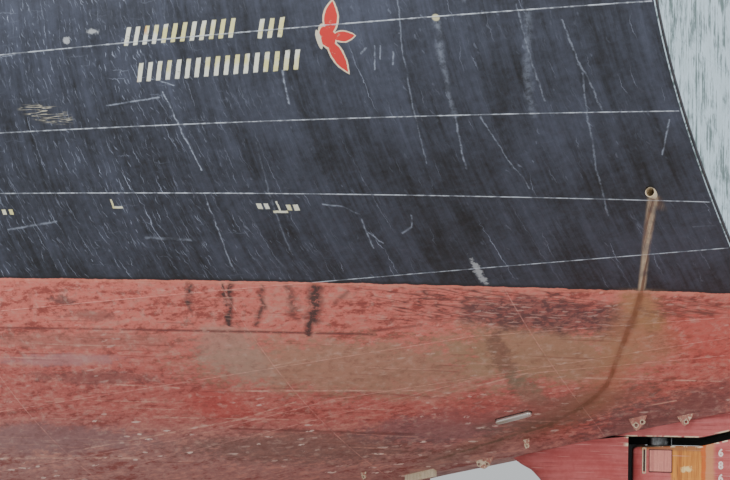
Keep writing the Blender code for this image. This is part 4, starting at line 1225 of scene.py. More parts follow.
# Worn, stained and patched areas of the underbody
UNDERBODY_RUBS = tuple(
    Rub(*row)
    for row in (
        ((8.7, -1.13), (2.2, 0.4), (168, 132, 108), 0.04, 1.4, 0.75),
        ((11.3, -0.85), (1.25, 0.42), (162, 128, 100), 0.05, 1.4, 0.85),
        ((7.1, -1.0), (0.5, 0.4), (172, 140, 124), 0.0, 1.6, 0.6),
        ((12.75, -0.62), (0.7, 0.35), (172, 128, 98), 0.3, 1.4, 0.6),
        ((10.79, -0.95), (0.14, 0.36), (112, 76, 66), -0.3, 2.0, 0.55),
        ((10.8, -1.38), (0.2, 0.26), (124, 114, 94), -0.6, 1.6, 0.55),
        ((5.17, -0.3), (0.22, 0.06), (104, 78, 74), -0.1, 1.8, 0.6),
        ((5.4, -0.5), (0.45, 0.07), (118, 82, 76), 0.0, 2.0, 0.5),
        ((4.6, -1.14), (0.9, 0.08), (178, 128, 128), 0.03, 1.4, 0.7),
        ((4.9, -1.38), (0.9, 0.1), (124, 78, 74), 0.03, 2.0, 0.6),
        ((3.3, -2.35), (1.5, 0.22), (142, 108, 108), 0.05, 1.6, 0.7),
        ((5.2, -0.85), (1.6, 0.12), (158, 108, 96), 0.02, 1.8, 0.5),
        ((7.0, -2.35), (1.7, 0.25), (112, 90, 82), 0.06, 1.4, 0.6),
        ((9.3, -1.95), (1.3, 0.22), (112, 90, 94), 0.15, 1.4, 0.55),
        ((13.9, -0.55), (0.7, 0.4), (196, 80, 72), 0.0, 1.2, 0.5),
        ((13.05, -0.25), (0.3, 0.24), (170, 128, 84), 0.9, 1.2, 0.7),
        ((11.2, -1.62), (1.5, 0.2), (116, 94, 82), 0.22, 1.4, 0.6),
        ((6.35, -1.75), (0.45, 0.22), (184, 72, 66), 0.1, 1.2, 0.5),
        ((10.0, -1.7), (0.9, 0.16), (172, 82, 76), 0.1, 1.4, 0.4),
        ((12.4, -1.72), (1.5, 0.26), (104, 84, 84), 0.26, 1.4, 0.65),
        ((13.6, -1.28), (0.9, 0.16), (126, 76, 74), 0.26, 1.4, 0.5),
    )
)


@dataclass(frozen=True)
class RosePaint(Finish):
    """Fresher red on the horn, the headbox and the rudder, with rust under the blade's top edge."""

    name: str = "rudder red"
    rusty: bool = False

    def surface(self, w: Wiring, where: Value) -> Surface:
        """Level brush marks, broad fading, painted shade in the gap over the blade and in the nose recess
        and, on the blade, the ochre rust field.
        """
        x, _, z = w.parts(where)
        grain = w.noise(where, 3.0, 4.0, 0.68)
        fine = w.noise(where, 16.0, 3.0, 0.7)
        cloud = BLOTCHES(w, where=where, size=0.9)
        level = w.noise(w.stretch(where, 0.8, 2.0, 16.0), 1.0, 4.0, 0.65)
        tone = cloud * 0.45 + level * 0.4 + fine * 0.15
        colour = w.blend(tone.ease(0.34, 0.66), (164, 70, 68), (196, 108, 106))
        dark = SCRATCHES(w, across=z, up=x, spacing=0.06, length=0.7, width=0.01, cover=0.5, seed=41.0)
        colour = w.blend(dark * 0.45, colour, (122, 52, 52))
        if self.rusty:
            colour = self.rust_field(Ground(w, where, x, z, grain, cloud, fine), colour)
        pale = SCRATCHES(w, across=z, up=x, spacing=0.05, length=0.6, width=0.008, cover=0.45, seed=42.0)
        colour = w.blend(pale * 0.5, colour, (222, 168, 160))
        lift = w.most(x - 13.0, 0.0)
        line = z - lift * 0.26
        for edge_z in (-2.02, -2.15):
            off = abs(line - edge_z)
            near = off.ease(0.035, 0.012) * x.ease(11.7, 11.8)
            colour = w.blend(near * grain.ease(0.5, 0.56), colour, (232, 214, 182))
        chips = CHIPS(w, where=where, size=0.06, cover=0.07)
        colour = w.blend(chips * 0.85, colour, (230, 210, 190))
        # Painted shade: near-black on the faces that look up or down in the gap over the blade, and on the
        # horn's recess and the blade's nose where they face each other
        _, ny, nz = w.parts(w.out(w.node("NewGeometry", {}), "Normal"))
        band = line.ease(-2.22, -2.18) * line.ease(-1.94, -1.98)
        inner = abs(nz).ease(0.5, 0.8) * band
        nose = abs(ny).ease(0.72, 0.5) * x.ease(11.4, 11.5) * x.ease(12.1, 12.02) * z.ease(-5.6, -5.5)
        shade = w.most(inner, nose)
        colour = w.blend(shade * 0.97, colour, (18, 20, 16))
        relief = fine * 0.4 + level * 0.6
        return Surface(colour, fine * 0.3 + 0.42, relief, 0.006)

    def rust_field(self, at: Ground, colour: Value) -> Value:
        """Colour with ochre rust beside the access cover, and an orange streak down it."""
        w, _, x, z, grain, _, fine = at
        near = x + grain.swing(0.12)
        low = z.ease(-3.15, -2.75)
        runs = RUNS(w, across=x, up=z, spacing=0.045, length=1.4)
        ochre = w.blend(runs.ease(0.36, 0.62), (168, 98, 28), (214, 142, 54))
        field = near.ease(12.5, 12.56) * near.ease(13.1, 13.04) * low
        tan = near.ease(13.02, 13.08) * near.ease(13.26, 13.18) * low
        colour = w.blend(tan * 0.85, colour, (198, 136, 88))
        colour = w.blend(field * 0.95, colour, ochre)
        rim = z.ease(-2.26, -2.2) * near.ease(11.98, 12.05) * near.ease(13.1, 13.0)
        colour = w.blend(rim * 0.85, colour, (150, 96, 56))
        streak = abs(near - 13.05).ease(0.05, 0.02) * low
        colour = w.blend(streak * 0.9, colour, (196, 92, 28))
        pale = PATCH(
            w, across=x, up=z, x=12.78, z=-2.52, half_length=0.08, half_width=0.05, ragged=1.4, grain=fine
        )
        colour = w.blend(pale * 0.9, colour, (236, 206, 140))
        lines = SCRATCHES(w, across=x, up=z, spacing=0.05, length=0.3, width=0.008, cover=0.6, seed=44.0)
        return w.blend(lines * field * 0.6, colour, (96, 62, 36))


@dataclass(frozen=True)
class StreakedPaint(Finish):
    """Plain paint that has weathered: cloudy tone, run-off streaks and flakes."""

    name: str
    light: Colour
    dark: Colour
    stain: Colour
    flake: Colour
    streaks: float = 0.6
    cover: float = 0.08
    size: float = 0.8
    rough: float = 0.5
    drop: float = 1.8

    def surface(self, w: Wiring, where: Value) -> Surface:
        """Wires the tone, the streaks and the flakes."""
        x, y, z = w.parts(where)
        cloud = BLOTCHES(w, where=where, size=self.size)
        grain = BLOTCHES(w, where=where, size=self.size * 0.12)
        tone = cloud * 0.7 + grain * 0.3
        colour = w.blend(tone.ease(0.32, 0.68), self.dark, self.light)
        runs = RUNS(w, across=x + y, up=z, spacing=self.size * 0.12, length=self.drop)
        mask = (runs + cloud.swing(0.7)).ease(0.47, 0.62)
        colour = w.blend(mask * self.streaks, colour, self.stain)
        chips = CHIPS(w, where=where, size=0.09, cover=self.cover)
        colour = w.blend(chips * 0.85, colour, self.flake)
        relief = grain * 0.7 + chips * -0.5
        return Surface(colour, grain * 0.3 + (self.rough - 0.15), relief, 0.004)


@dataclass(frozen=True)
class BareMetal(Finish):
    """Cast or rolled metal with stains and polished places."""

    name: str
    light: Colour
    dark: Colour
    metallic: float = 1.0
    rough: float = 0.35
    size: float = 0.4

    def surface(self, w: Wiring, where: Value) -> Surface:
        """Wires the stains and the varying polish."""
        cloud = BLOTCHES(w, where=where, size=self.size)
        grain = BLOTCHES(w, where=where, size=self.size * 0.1)
        colour = w.blend(cloud.ease(0.36, 0.66), self.dark, self.light)
        spots = CHIPS(w, where=where, size=0.05, cover=0.12)
        colour = w.blend(spots * 0.5, colour, self.dark)
        rough = (1.0 - cloud) * 0.35 + (self.rough - 0.15)
        metal = cloud.ease(0.25, 0.5, self.metallic * 0.6, self.metallic)
        return Surface(colour, rough, grain, 0.002, metal)


HULL_PAINT = HullPaint()
SEAM_PAINT = HullPaint("hull paint worn on the welds", 0.8)
HORN_RED = RosePaint("horn red")
BLADE_RED = RosePaint("blade red", True)
TRANSOM_PAINT = StreakedPaint(
    "transom paint", light=(204, 226, 240), dark=(178, 200, 210), stain=(84, 104, 102),
    flake=(104, 112, 108), streaks=0.95, cover=0.22, size=0.45, rough=0.5, drop=0.6,
)
BLACK_PAINT = StreakedPaint(
    "fitting black", light=(56, 60, 70), dark=(24, 25, 30), stain=(78, 66, 58), flake=(140, 132, 120),
    streaks=0.4, cover=0.12, size=0.5,
)
DECK_PAINT = StreakedPaint(
    "deck green", light=(78, 104, 90), dark=(46, 68, 60), stain=(98, 72, 56), flake=(122, 86, 66),
    streaks=0.3, cover=0.3, size=1.4, rough=0.65,
)
PRIMER = StreakedPaint(
    "bulkhead primer", light=(134, 82, 70), dark=(98, 58, 52), stain=(80, 54, 48), flake=(150, 116, 104),
    streaks=0.5, cover=0.2, size=1.6, rough=0.6,
)
LUG_PAINT = StreakedPaint(
    "lug paint", light=(206, 150, 128), dark=(158, 88, 80), stain=(112, 68, 60), flake=(232, 214, 184),
    streaks=0.5, cover=0.7, size=0.12,
)
CREAM = StreakedPaint(
    "cream edge", light=(232, 220, 192), dark=(190, 168, 134), stain=(140, 98, 72), flake=(112, 76, 60),
    streaks=0.4, cover=0.3, size=0.1,
)
ZINC = StreakedPaint(
    "zinc", light=(255, 255, 250), dark=(250, 250, 240), stain=(232, 228, 214), flake=(206, 200, 186),
    streaks=0.2, cover=0.08, size=0.1, rough=0.55,
)
BRONZE = BareMetal("propeller bronze", (186, 140, 74), (96, 74, 50), 1.0, 0.32, 0.5)
STEEL = BareMetal("bright steel", (166, 168, 170), (100, 98, 96), 1.0, 0.3, 0.3)
COVER_PAINT = StreakedPaint(
    "cover lilac", light=(222, 146, 130), dark=(200, 122, 110), stain=(160, 88, 86), flake=(236, 216, 200),
    streaks=0.5, cover=0.12, size=0.3,
)
# Dark red-brown for the weld rims round the access cover; on the blade's slot and the anode's strap it is
# painted shade
DARK_GAP = StreakedPaint(
    "dark weld and painted shade", light=(66, 34, 30), dark=(30, 16, 16), stain=(44, 24, 22), flake=(128, 90, 76), streaks=0.4,
    cover=0.05, size=0.2,
)
# Near-black painted shade for the thin plates in the rudder gap, not fouling
SHADE = StreakedPaint(
    "painted gap shade", light=(24, 26, 20), dark=(10, 11, 9), stain=(36, 34, 24), flake=(60, 58, 44), streaks=0.4,
    cover=0.05, size=0.2, rough=0.7,
)
WHITE_MARKS = StreakedPaint(
    "worn white", light=(240, 232, 224), dark=(222, 200, 190), stain=(206, 150, 140), flake=(182, 100, 94),
    streaks=0.4, cover=0.35, size=0.1,
)


@dataclass
class ShellPlating:
    """Fine shell plates with their weld beads."""

    columns: int = 150
    rows: tuple[int, ...] = (16, 12, 12, 10, 8, 8, 12)
    butts: tuple[float, ...] = (3.50, 7.58, 11.40)
    butt_top: float = -0.03  # the butts show only under the paint line
    bead_end: float = 0.02  # from a bead's end to the plate's edge
    bead_half: float = 0.0095
    bead_height: float = 0.004
    bead_smooth: float = 60.0

    def build(self) -> None:
        """Makes every plate and bead, both sides."""
        seams = [SEAM_G, SEAM_E, SEAM_D, SEAM_C, SEAM_B, SEAM_A]
        edges = [FORM.bottom_z, *(seam.z for seam in seams), lambda x: FORM.deck_z - FORM.deck_plate]
        names = ("counter", "bilge", "waterline", "lower", "middle", "upper", "sheer")
        for side in Side:
            for name, low, high, rows in zip(names, edges, edges[1:], self.rows):
                self.strake(side, name, (low, high), rows)
            self.beads(side)
        self.bottom_strip()

    def strake(self, side: Side, name: str, edges: tuple[Height, Height], rows: int) -> None:
        """Makes one strake's plate between its two edges, with rows of cells from edge to edge."""

        def place(u: float, v: float) -> Vector:
            """Point of the strake's outer face."""
            x = mix(FORM.start, FORM.length, u)
            low, high = (edge(x) for edge in edges)
            return FORM.point(side, x, mix(low, high, v))

        bm = sheet(self.columns, rows, place, Vector((0.0, side.value, -0.2)), FORM.plate)
        if name in ("lower", "middle"):
            bore = crosswise(Fittings.scupper_x, side.value * Fittings.scupper_y, Fittings.scupper_z)
            bm = carved(bm, [lathe(rod(Fittings.scupper_radius, -1.0, 1.0), bore, 32)])
        piece(f"{name}_plate_{side.tag}", bm, HULL_PAINT, [f"{name}_strake_{side.tag}"])

    def bead(self, side: Side, path: Sequence[Point]) -> bmesh.types.BMesh:
        """Weld bead of slightly uneven size through (x, z) points, half sunk in the plate."""
        spots = []
        for i, (x, z) in enumerate(path):
            ahead, behind = path[min(i + 1, len(path) - 1)], path[max(i - 1, 0)]
            out = FORM.normal(side, x, z)
            across = out.cross(FORM.point(side, *ahead) - FORM.point(side, *behind)).normalized()
            wide = self.bead_half * (1.0 + 0.18 * math.sin(i * 2.3) + 0.1 * math.sin(i * 5.1))
            tall = self.bead_height * (1.0 + 0.25 * math.sin(i * 1.7 + 1.0))
            spots.append((FORM.point(side, x, z), across * wide, out * tall))
        return bead(spots)

    def beads(self, side: Side) -> None:
        """Makes the beads along the seams and across the butts of one side."""
        xs = spaced(FORM.start + self.bead_end, FORM.length - self.bead_end, 260)
        cross = sum(SEAM_D.z(x) < 0.0 for x in xs) - 1  # last step where the seam is under the paint line
        top = self.butt_top
        butts = [[(x, z) for z in spaced(FORM.bottom_z(x) + self.bead_end, top, 60)] for x in self.butts]
        for name, paths in (
            ("topside_beads", [[(x, seam.z(x)) for x in xs] for seam in (SEAM_A, SEAM_B, SEAM_C)]),
            ("underbody_beads", [[(x, seam.z(x)) for x in xs] for seam in (SEAM_E, SEAM_F, SEAM_G)]),
            ("upper_waterline_bead", [[(x, SEAM_D.z(x)) for x in xs[cross:]]]),
            ("butt_beads", [[(x, SEAM_D.z(x)) for x in xs[: cross + 1]], *butts]),
        ):
            shape = gathered(self.bead(side, path) for path in paths)
            piece(f"{name}_{side.tag}", shape, SEAM_PAINT, smooth=self.bead_smooth)

    def bottom_strip(self) -> None:
        """Makes the flat plate between the two sides' lowest strakes."""

        def place(u: float, v: float) -> Vector:
            """Point of the strip's underside."""
            x = mix(FORM.start, FORM.length, u)
            return Vector((x, FORM.flat_half(x) * (2.0 * v - 1.0), FORM.bottom_z(x)))

        bm = sheet(self.columns, 6, place, Vector((0.0, 0.0, -1.0)), FORM.plate)
        piece("bottom_strip", bm, HULL_PAINT, ["centre_bottom_strake"])


@dataclass
class Transom:
    """Three flat plates across the stern, with their seams and edge bars."""

    plate: float = 0.018
    seams: tuple[float, ...] = (1.09, 3.00)
    bead_end: float = 0.06  # from a bead's end to the hull's edge
    bead_half: float = 0.016
    bead_height: float = 0.004
    bar_width: float = 0.055
    bar_depth: float = 0.022
    bar_round: float = 0.006

    @property
    def back(self) -> float:
        """The plates' after face."""
        return FORM.length + AIR + self.plate

    def half(self, z: float) -> float:
        """Half-breadth of the transom at a height."""
        return FORM.shell_y(FORM.length, z)

    def build(self) -> None:
        """Makes the plates, the seam beads and the edge bars."""
        levels = (FORM.bottom_z(FORM.length), *self.seams, FORM.deck_z)
        for name, low, high in zip(("lower", "middle", "upper"), levels, levels[1:]):
            self.face(name, low, high)
        beads = []
        for z in self.seams:
            reach = self.half(z) - self.bead_end
            spots = []
            for i, y in enumerate(spaced(-reach, reach, 120)):
                tall = self.bead_height * (1.0 + 0.3 * math.sin(i * 1.9))
                wide, deep = Vector((0.0, 0.0, self.bead_half)), Vector((tall, 0.0, 0.0))
                spots.append((Vector((self.back, y, z)), wide, deep))
            beads.append(bead(spots))
        piece("transom_beads", gathered(beads), TRANSOM_PAINT, smooth=ShellPlating.bead_smooth)
        for side in Side:
            self.edge_bar(side)

    def face(self, name: str, low: float, high: float) -> None:
        """Makes one plate between two heights."""

        def place(u: float, v: float) -> Vector:
            """Point of the plate's after face."""
            z = mix(low, high, v)
            return Vector((self.back, self.half(z) * (2.0 * u - 1.0), z))

        bm = sheet(48, 20, place, Vector((1.0, 0.0, 0.0)), self.plate)
        piece(f"transom_{name}", bm, TRANSOM_PAINT, [f"transom_{name}_plate"])

    def edge_bar(self, side: Side) -> None:
        """Makes the bar down one edge, rounded on its after side."""
        rings = []
        for z in spaced(SEAM_G.z(FORM.length), FORM.deck_z, 60):
            slope = (self.half(min(z + STRIDE, FORM.deck_z)) - self.half(z - STRIDE)) / (2 * STRIDE)
            tilt = Vector((0.0, side.value, -slope)).normalized()
            edge = Vector((self.back, side.value * self.half(z), z))
            inner = edge - tilt * self.bar_width
            deep, soft = Vector((self.bar_depth, 0.0, 0.0)), tilt * self.bar_round
            shoulders = edge + deep * 0.8, edge + deep - soft, inner + deep + soft, inner + deep * 0.8
            rings.append([edge, *shoulders, inner])
        piece(f"edge_bar_{side.tag}", skin(rings), BLACK_PAINT, [f"transom_edge_bar_{side.tag}"])


@dataclass
class Deck:
    """Bulwarks with their rails and stays, and the mooring bitts."""

    height: float = 1.05
    plate: float = 0.012
    aft_plate: float = 0.018
    rail: float = 0.16
    rail_plate: float = 0.016
    rail_round: float = 0.006
    stay_reach: float = 0.42
    stay_toe: float = 0.05
    stay_arm: float = 0.12
    stay_spacing: float = 0.81
    stay_ends: Point = (0.55, 14.17)
    aft_stays: int = 17
    bitt_x: float = 11.4
    bitt_y: float = 5.6
    bitt_radius: float = 0.17
    bitt_height: float = 0.62
    bitt_spacing: float = 0.95
    bitt_base: tuple[float, float, float] = (1.55, 0.52, 0.03)

    @property
    def levels(self) -> tuple[float, float, float]:
        """Foot of what stands on the deck, underside of the rail and its top."""
        top = FORM.deck_z + self.height
        return FORM.deck_z + AIR, top - self.rail_plate, top

    def build(self) -> None:
        """Makes the deck's pieces and paints the deck plate."""
        repaint("main_deck", DECK_PAINT)
        for side in Side:
            self.bulwark(side)
            self.bitts(side)
        self.after_bulwark()

    def stay(self, place: Callable[[float, float], Vector], push: Vector) -> bmesh.types.BMesh:
        """One stay, where place gives the point a distance inboard at a height."""
        foot, under, _ = self.levels
        reach, arm = self.stay_reach, self.stay_arm
        toe = foot + self.stay_toe
        outline = ((0.0, foot), (reach, foot), (reach, toe), (arm, under - arm), (arm, under), (0.0, under))
        return slab([place(a, z) for a, z in outline], push, 0.002, 1)

    def bulwark(self, side: Side) -> None:
        """Makes one side's bulwark and its stays."""
        foot, under, top = self.levels
        rings = []
        for x in spaced(FORM.start, FORM.length, 120):
            outer = FORM.deck_half(x)
            inner, edge = outer - self.plate, outer - self.rail
            profile = (
                (outer, foot), (outer, top - 0.004), (outer - 0.004, top), (edge + self.rail_round, top),
                (edge, top - self.rail_plate / 2), (edge + self.rail_round, under),
                (inner, under), (inner, foot),
            )
            rings.append([Vector((x, side.value * y, z)) for y, z in profile])
        piece(f"bulwark_{side.tag}_plate", skin(rings), BLACK_PAINT, [f"bulwark_{side.tag}"])
        stays = []
        x, last = self.stay_ends
        while x < last:
            y = FORM.deck_half(x) - self.plate
            push = Vector((self.plate, 0.0, 0.0))
            stays.append(self.stay(lambda a, z: Vector((x, side.value * (y - a), z)), push))
            x += self.stay_spacing
        piece(f"bulwark_stays_{side.tag}", gathered(stays), BLACK_PAINT)

    def after_bulwark(self) -> None:
        """Makes the bulwark across the stern."""
        foot, under, top = self.levels
        aft, half = FORM.length + AIR, FORM.deck_half(FORM.length)
        inner, edge = half - self.rail - AIR, aft - self.rail
        plate = ((-half, foot), (half, foot), (half, top), (-half, top))
        rail = ((edge, -inner), (aft, -inner), (aft, inner), (edge, inner))
        parts = [
            slab([Vector((aft, y, z)) for y, z in plate], Vector((self.aft_plate, 0.0, 0.0)), 0.003),
            slab([Vector((x, y, under)) for x, y in rail], Vector((0.0, 0.0, self.rail_plate)), 0.004),
        ]
        for i in range(self.aft_stays):
            y = inner * (2 * (i + 0.5) / self.aft_stays - 1.0)
            parts.append(self.stay(lambda a, z: Vector((aft - a, y, z)), Vector((0.0, self.plate, 0.0))))
        piece("after_bulwark", gathered(parts), TRANSOM_PAINT, ["bulwark_aft"])

    def bitts(self, side: Side) -> None:
        """Makes one pair of bitts on its base."""
        length, width, base = self.bitt_base
        foot, y = self.levels[0], side.value * self.bitt_y
        corners = [
            Vector((self.bitt_x + a * length / 2, y + b * width / 2, foot))
            for a, b in ((-1, -1), (1, -1), (1, 1), (-1, 1))
        ]
        parts = [slab(corners, Vector((0.0, 0.0, base)), 0.006)]
        r, h = self.bitt_radius, self.bitt_height
        profile = (
            (0.02, 0.0), (0.02, r + 0.012), (0.045, r), (h - 0.075, r), (h - 0.055, r + 0.03),
            (h - 0.04, r + 0.035), (h - 0.015, r + 0.035), (h, r + 0.02), (h, 0.0),
        )
        for end in (-0.5, 0.5):
            parts.append(lathe(profile, upright(self.bitt_x + end * self.bitt_spacing, y, foot)))
        piece(f"bitts_{side.tag}", gathered(parts), BLACK_PAINT, [f"mooring_bitts_{side.tag}"])


@dataclass
class Skeg:
    """Skeg plates, stern frame with its boss, and the rope guard."""

    plate: float = 0.022
    post: float = 0.50
    post_end_half: float = 0.10
    post_round: float = 1.3  # power that rounds the post's after end
    boss_start: float = 7.52
    boss_flare: float = 0.28  # length over which the boss swells
    boss_root: float = 0.44
    boss_radius: float = 0.56
    boss_end_radius: float = 0.54
    boss_end: float = 8.12
    bore: float = 0.2204
    guard: tuple[Point, ...] = ((AIR, 0.54), (0.13, 0.54), (0.13, 0.525), (AIR, 0.524))

    @property
    def foot(self) -> float:
        """Height where the skeg stands on its keel plate."""
        return FORM.keel_z + self.plate + AIR

    def build(self) -> None:
        """Makes the skeg's pieces."""
        for side in Side:
            self.flank(side)
        self.keel()
        self.stern_frame()
        guard = lathe(self.guard, on_shaft(self.boss_end), 64, True)
        piece("rope_guard_ring", guard, HORN_RED, ["rope_guard"])

    def flank(self, side: Side) -> None:
        """Makes one side's plate."""

        def place(u: float, v: float) -> Vector:
            """Point of the skeg's side."""
            x = mix(FORM.start, FORM.skeg_end, u)
            z = mix(self.foot, FORM.bottom_z(x), v)
            return Vector((x, side.value * FORM.skeg_half(x, z), z))

        bm = sheet(72, 40, place, Vector((0.0, side.value, 0.0)), self.plate)
        piece(f"skeg_{side.tag}", bm, HULL_PAINT, [f"skeg_side_{side.tag}"])

    def keel(self) -> None:
        """Makes the keel plate."""

        def place(u: float, v: float) -> Vector:
            """Point of the keel plate's underside."""
            x = mix(FORM.start, FORM.skeg_end + self.post, u)
            if x <= FORM.skeg_end:
                half = FORM.skeg_half(x, FORM.keel_z + self.plate)
            else:
                half = mix(FORM.skeg_half_aft, self.post_end_half, (x - FORM.skeg_end) / self.post)
            return Vector((x, half * (2.0 * v - 1.0), FORM.keel_z))

        bm = sheet(60, 4, place, Vector((0.0, 0.0, -1.0)), self.plate)
        piece("keel_plate", bm, HULL_PAINT, ["skeg_keel_plate"])

    def stern_frame(self) -> None:
        """Makes the post, rounded aft, and the turned boss round the shaft."""
        rings = []
        for share in spaced(0.0, 1.0, 60):
            points = []
            for turn in spaced(-math.pi / 2, math.pi / 2, 24):
                x = FORM.skeg_end + self.post * max(math.cos(turn), 0.0) ** self.post_round
                z = mix(self.foot, FORM.bottom_z(x) + SINK, share)
                half = FORM.skeg_half(FORM.skeg_end, min(z, FORM.bottom_z(FORM.skeg_end)))
                points.append(Vector((x, half * math.sin(turn), z)))
            rings.append(points)
        start = self.boss_start
        reach = self.boss_end - start
        profile = [(0.0, 0.0), (0.0, self.boss_root)]
        for share in spaced(0.0, 1.0, 12):
            swell = math.sin(share * math.pi / 2) ** 0.8
            profile.append((self.boss_flare * share, mix(self.boss_root, self.boss_radius, swell)))
        end = self.boss_end_radius
        profile += [(reach - 0.03, end + 0.004), (reach, end - 0.01), (reach, 0.0)]
        place = on_shaft(start)
        bore = rod(self.bore, -1.0, 1.5)
        parts = [carved(shape, [lathe(bore, place)]) for shape in (skin(rings), lathe(profile, place, 64))]
        piece("stern_post_and_boss", gathered(parts), HULL_PAINT, ["stern_frame"])


@dataclass
class Propeller:
    """Four-bladed bronze propeller on its shaft."""

    radius: float = 2.25
    blades: int = 4
    hub_start: float = 8.14
    hub_length: float = 0.95
    hub_forward: float = 0.46
    hub_aft: float = 0.37
    pitch: float = 3.55
    chord: float = 1.30
    root_thick: float = 0.17
    tip_thick: float = 0.022
    rake: float = 0.20
    skew: float = 0.42
    first: float = 0.35  # turn of the first blade, as a share of the step between blades
    widest: float = 0.58  # share of the blade where its chord is longest
    tip_start: float = 0.84  # share of the blade from where its tip is rounded off
    root_swell: float = 0.9  # how much thicker the blade grows into the hub
    cap: float = 0.48
    bolts: int = 8
    bolt: tuple[Point, ...] = ((0.0, 0.0), (0.0, 0.022), (0.018, 0.022), (0.022, 0.018), (0.022, 0.0))
    shaft_start: float = 6.90
    shaft_length: float = 2.17
    shaft_radius: float = 0.22

    def build(self) -> None:
        """Makes the propeller, its cap and the shaft."""
        self.wheel()
        self.nose_cap()
        end, radius = self.shaft_length, self.shaft_radius
        shaft = ((0.0, 0.0), (0.0, radius - 0.01), (0.01, radius), (end, radius), (end, 0.0))
        bm = lathe(shaft, on_shaft(self.shaft_start), 64)
        piece("tail_shaft", bm, STEEL, ["propeller_shaft"], Body.PROPELLER)

    def blade(self, turn: float) -> bmesh.types.BMesh:
        """One blade at an angle about the shaft, thickened into the hub."""
        middle = self.hub_start + self.hub_length / 2
        steps = 24
        rings = []
        for share in spaced(0.0, 1.0, 44):
            radius = mix(self.hub_aft * 0.7, self.radius, share)
            chord = self.chord * math.sqrt(max(1.0 - (abs(share - self.widest) / 0.62) ** 2.4, 0.0))
            round_off = between((share - self.tip_start) / (1.0 - self.tip_start), 0.0, 1.0)
            chord *= math.sqrt(max(1.0 - round_off**2.2 * 0.97, 0.0))
            thick = mix(self.root_thick, self.tip_thick, share**0.8)
            thick *= 1.0 + self.root_swell * math.exp(-max(radius - self.hub_forward + 0.02, 0.0) / 0.05)
            slope = math.atan2(self.pitch, math.tau * radius)
            if radius < self.hub_forward:
                chord = min(chord, self.hub_length * 0.8 / math.sin(slope))
            ring = []
            for k in range(2 * steps):
                across, face = (k / steps, 1) if k < steps else (2 - k / steps, -1)
                spread = 0.5 - 0.5 * math.cos(math.pi * across)
                u = (spread - 0.5) * chord
                v = face * thick / 2 * max(math.sin(math.pi * spread), 0.0) ** 0.7
                ahead = u * math.sin(slope) + v * math.cos(slope)
                around = (u * math.cos(slope) - v * math.sin(slope)) / radius
                angle = turn + self.skew * share**2 - around
                x = middle - ahead + self.rake * share
                ring.append(Vector((x, radius * math.sin(angle), FORM.shaft_z + radius * math.cos(angle))))
            rings.append(ring)
        return skin(rings)

    def wheel(self) -> None:
        """Makes the hub with its blades."""
        length = self.hub_length
        hub = [(0.0, 0.0), (0.0, self.hub_forward - 0.015), (0.012, self.hub_forward)]
        for share in spaced(0.0, 1.0, 12)[1:-1]:
            swell = 0.02 * math.sin(math.pi * share)
            hub.append((length * share, mix(self.hub_forward, self.hub_aft, share) + swell))
        hub += [(length - 0.01, self.hub_aft), (length, self.hub_aft - 0.012), (length, 0.0)]
        parts = [lathe(hub, on_shaft(self.hub_start), 72)]
        parts += [self.blade(math.tau * (i + self.first) / self.blades) for i in range(self.blades)]
        piece("propeller_wheel", gathered(parts), BRONZE, ["propeller_casting"], Body.PROPELLER, 45.0)

    def nose_cap(self) -> None:
        """Makes the cap and the bolts round its foot."""
        start = self.hub_start + self.hub_length
        radius, rim = self.hub_aft - 0.01, 0.034
        nose = [(0.0, 0.0), (0.0, radius), (0.03, radius), (rim, radius - 0.006)]
        for turn in spaced(0.0, math.pi / 2, 16)[1:-1]:
            nose.append((mix(rim, self.cap, math.sin(turn)), (radius - 0.006) * math.cos(turn)))
        nose.append((self.cap, 0.0))
        parts = [lathe(nose, on_shaft(start + AIR), 64)]
        ring = radius - 0.035
        for k in range(self.bolts):
            turn = math.tau * k / self.bolts
            off = Matrix.Translation((0.0, ring * math.sin(turn), ring * math.cos(turn)))
            parts.append(lathe(self.bolt, on_shaft(start + 0.07) @ off, 6))
        piece("propeller_nose_cap", gathered(parts), BRONZE, ["propeller_cap"], Body.PROPELLER)


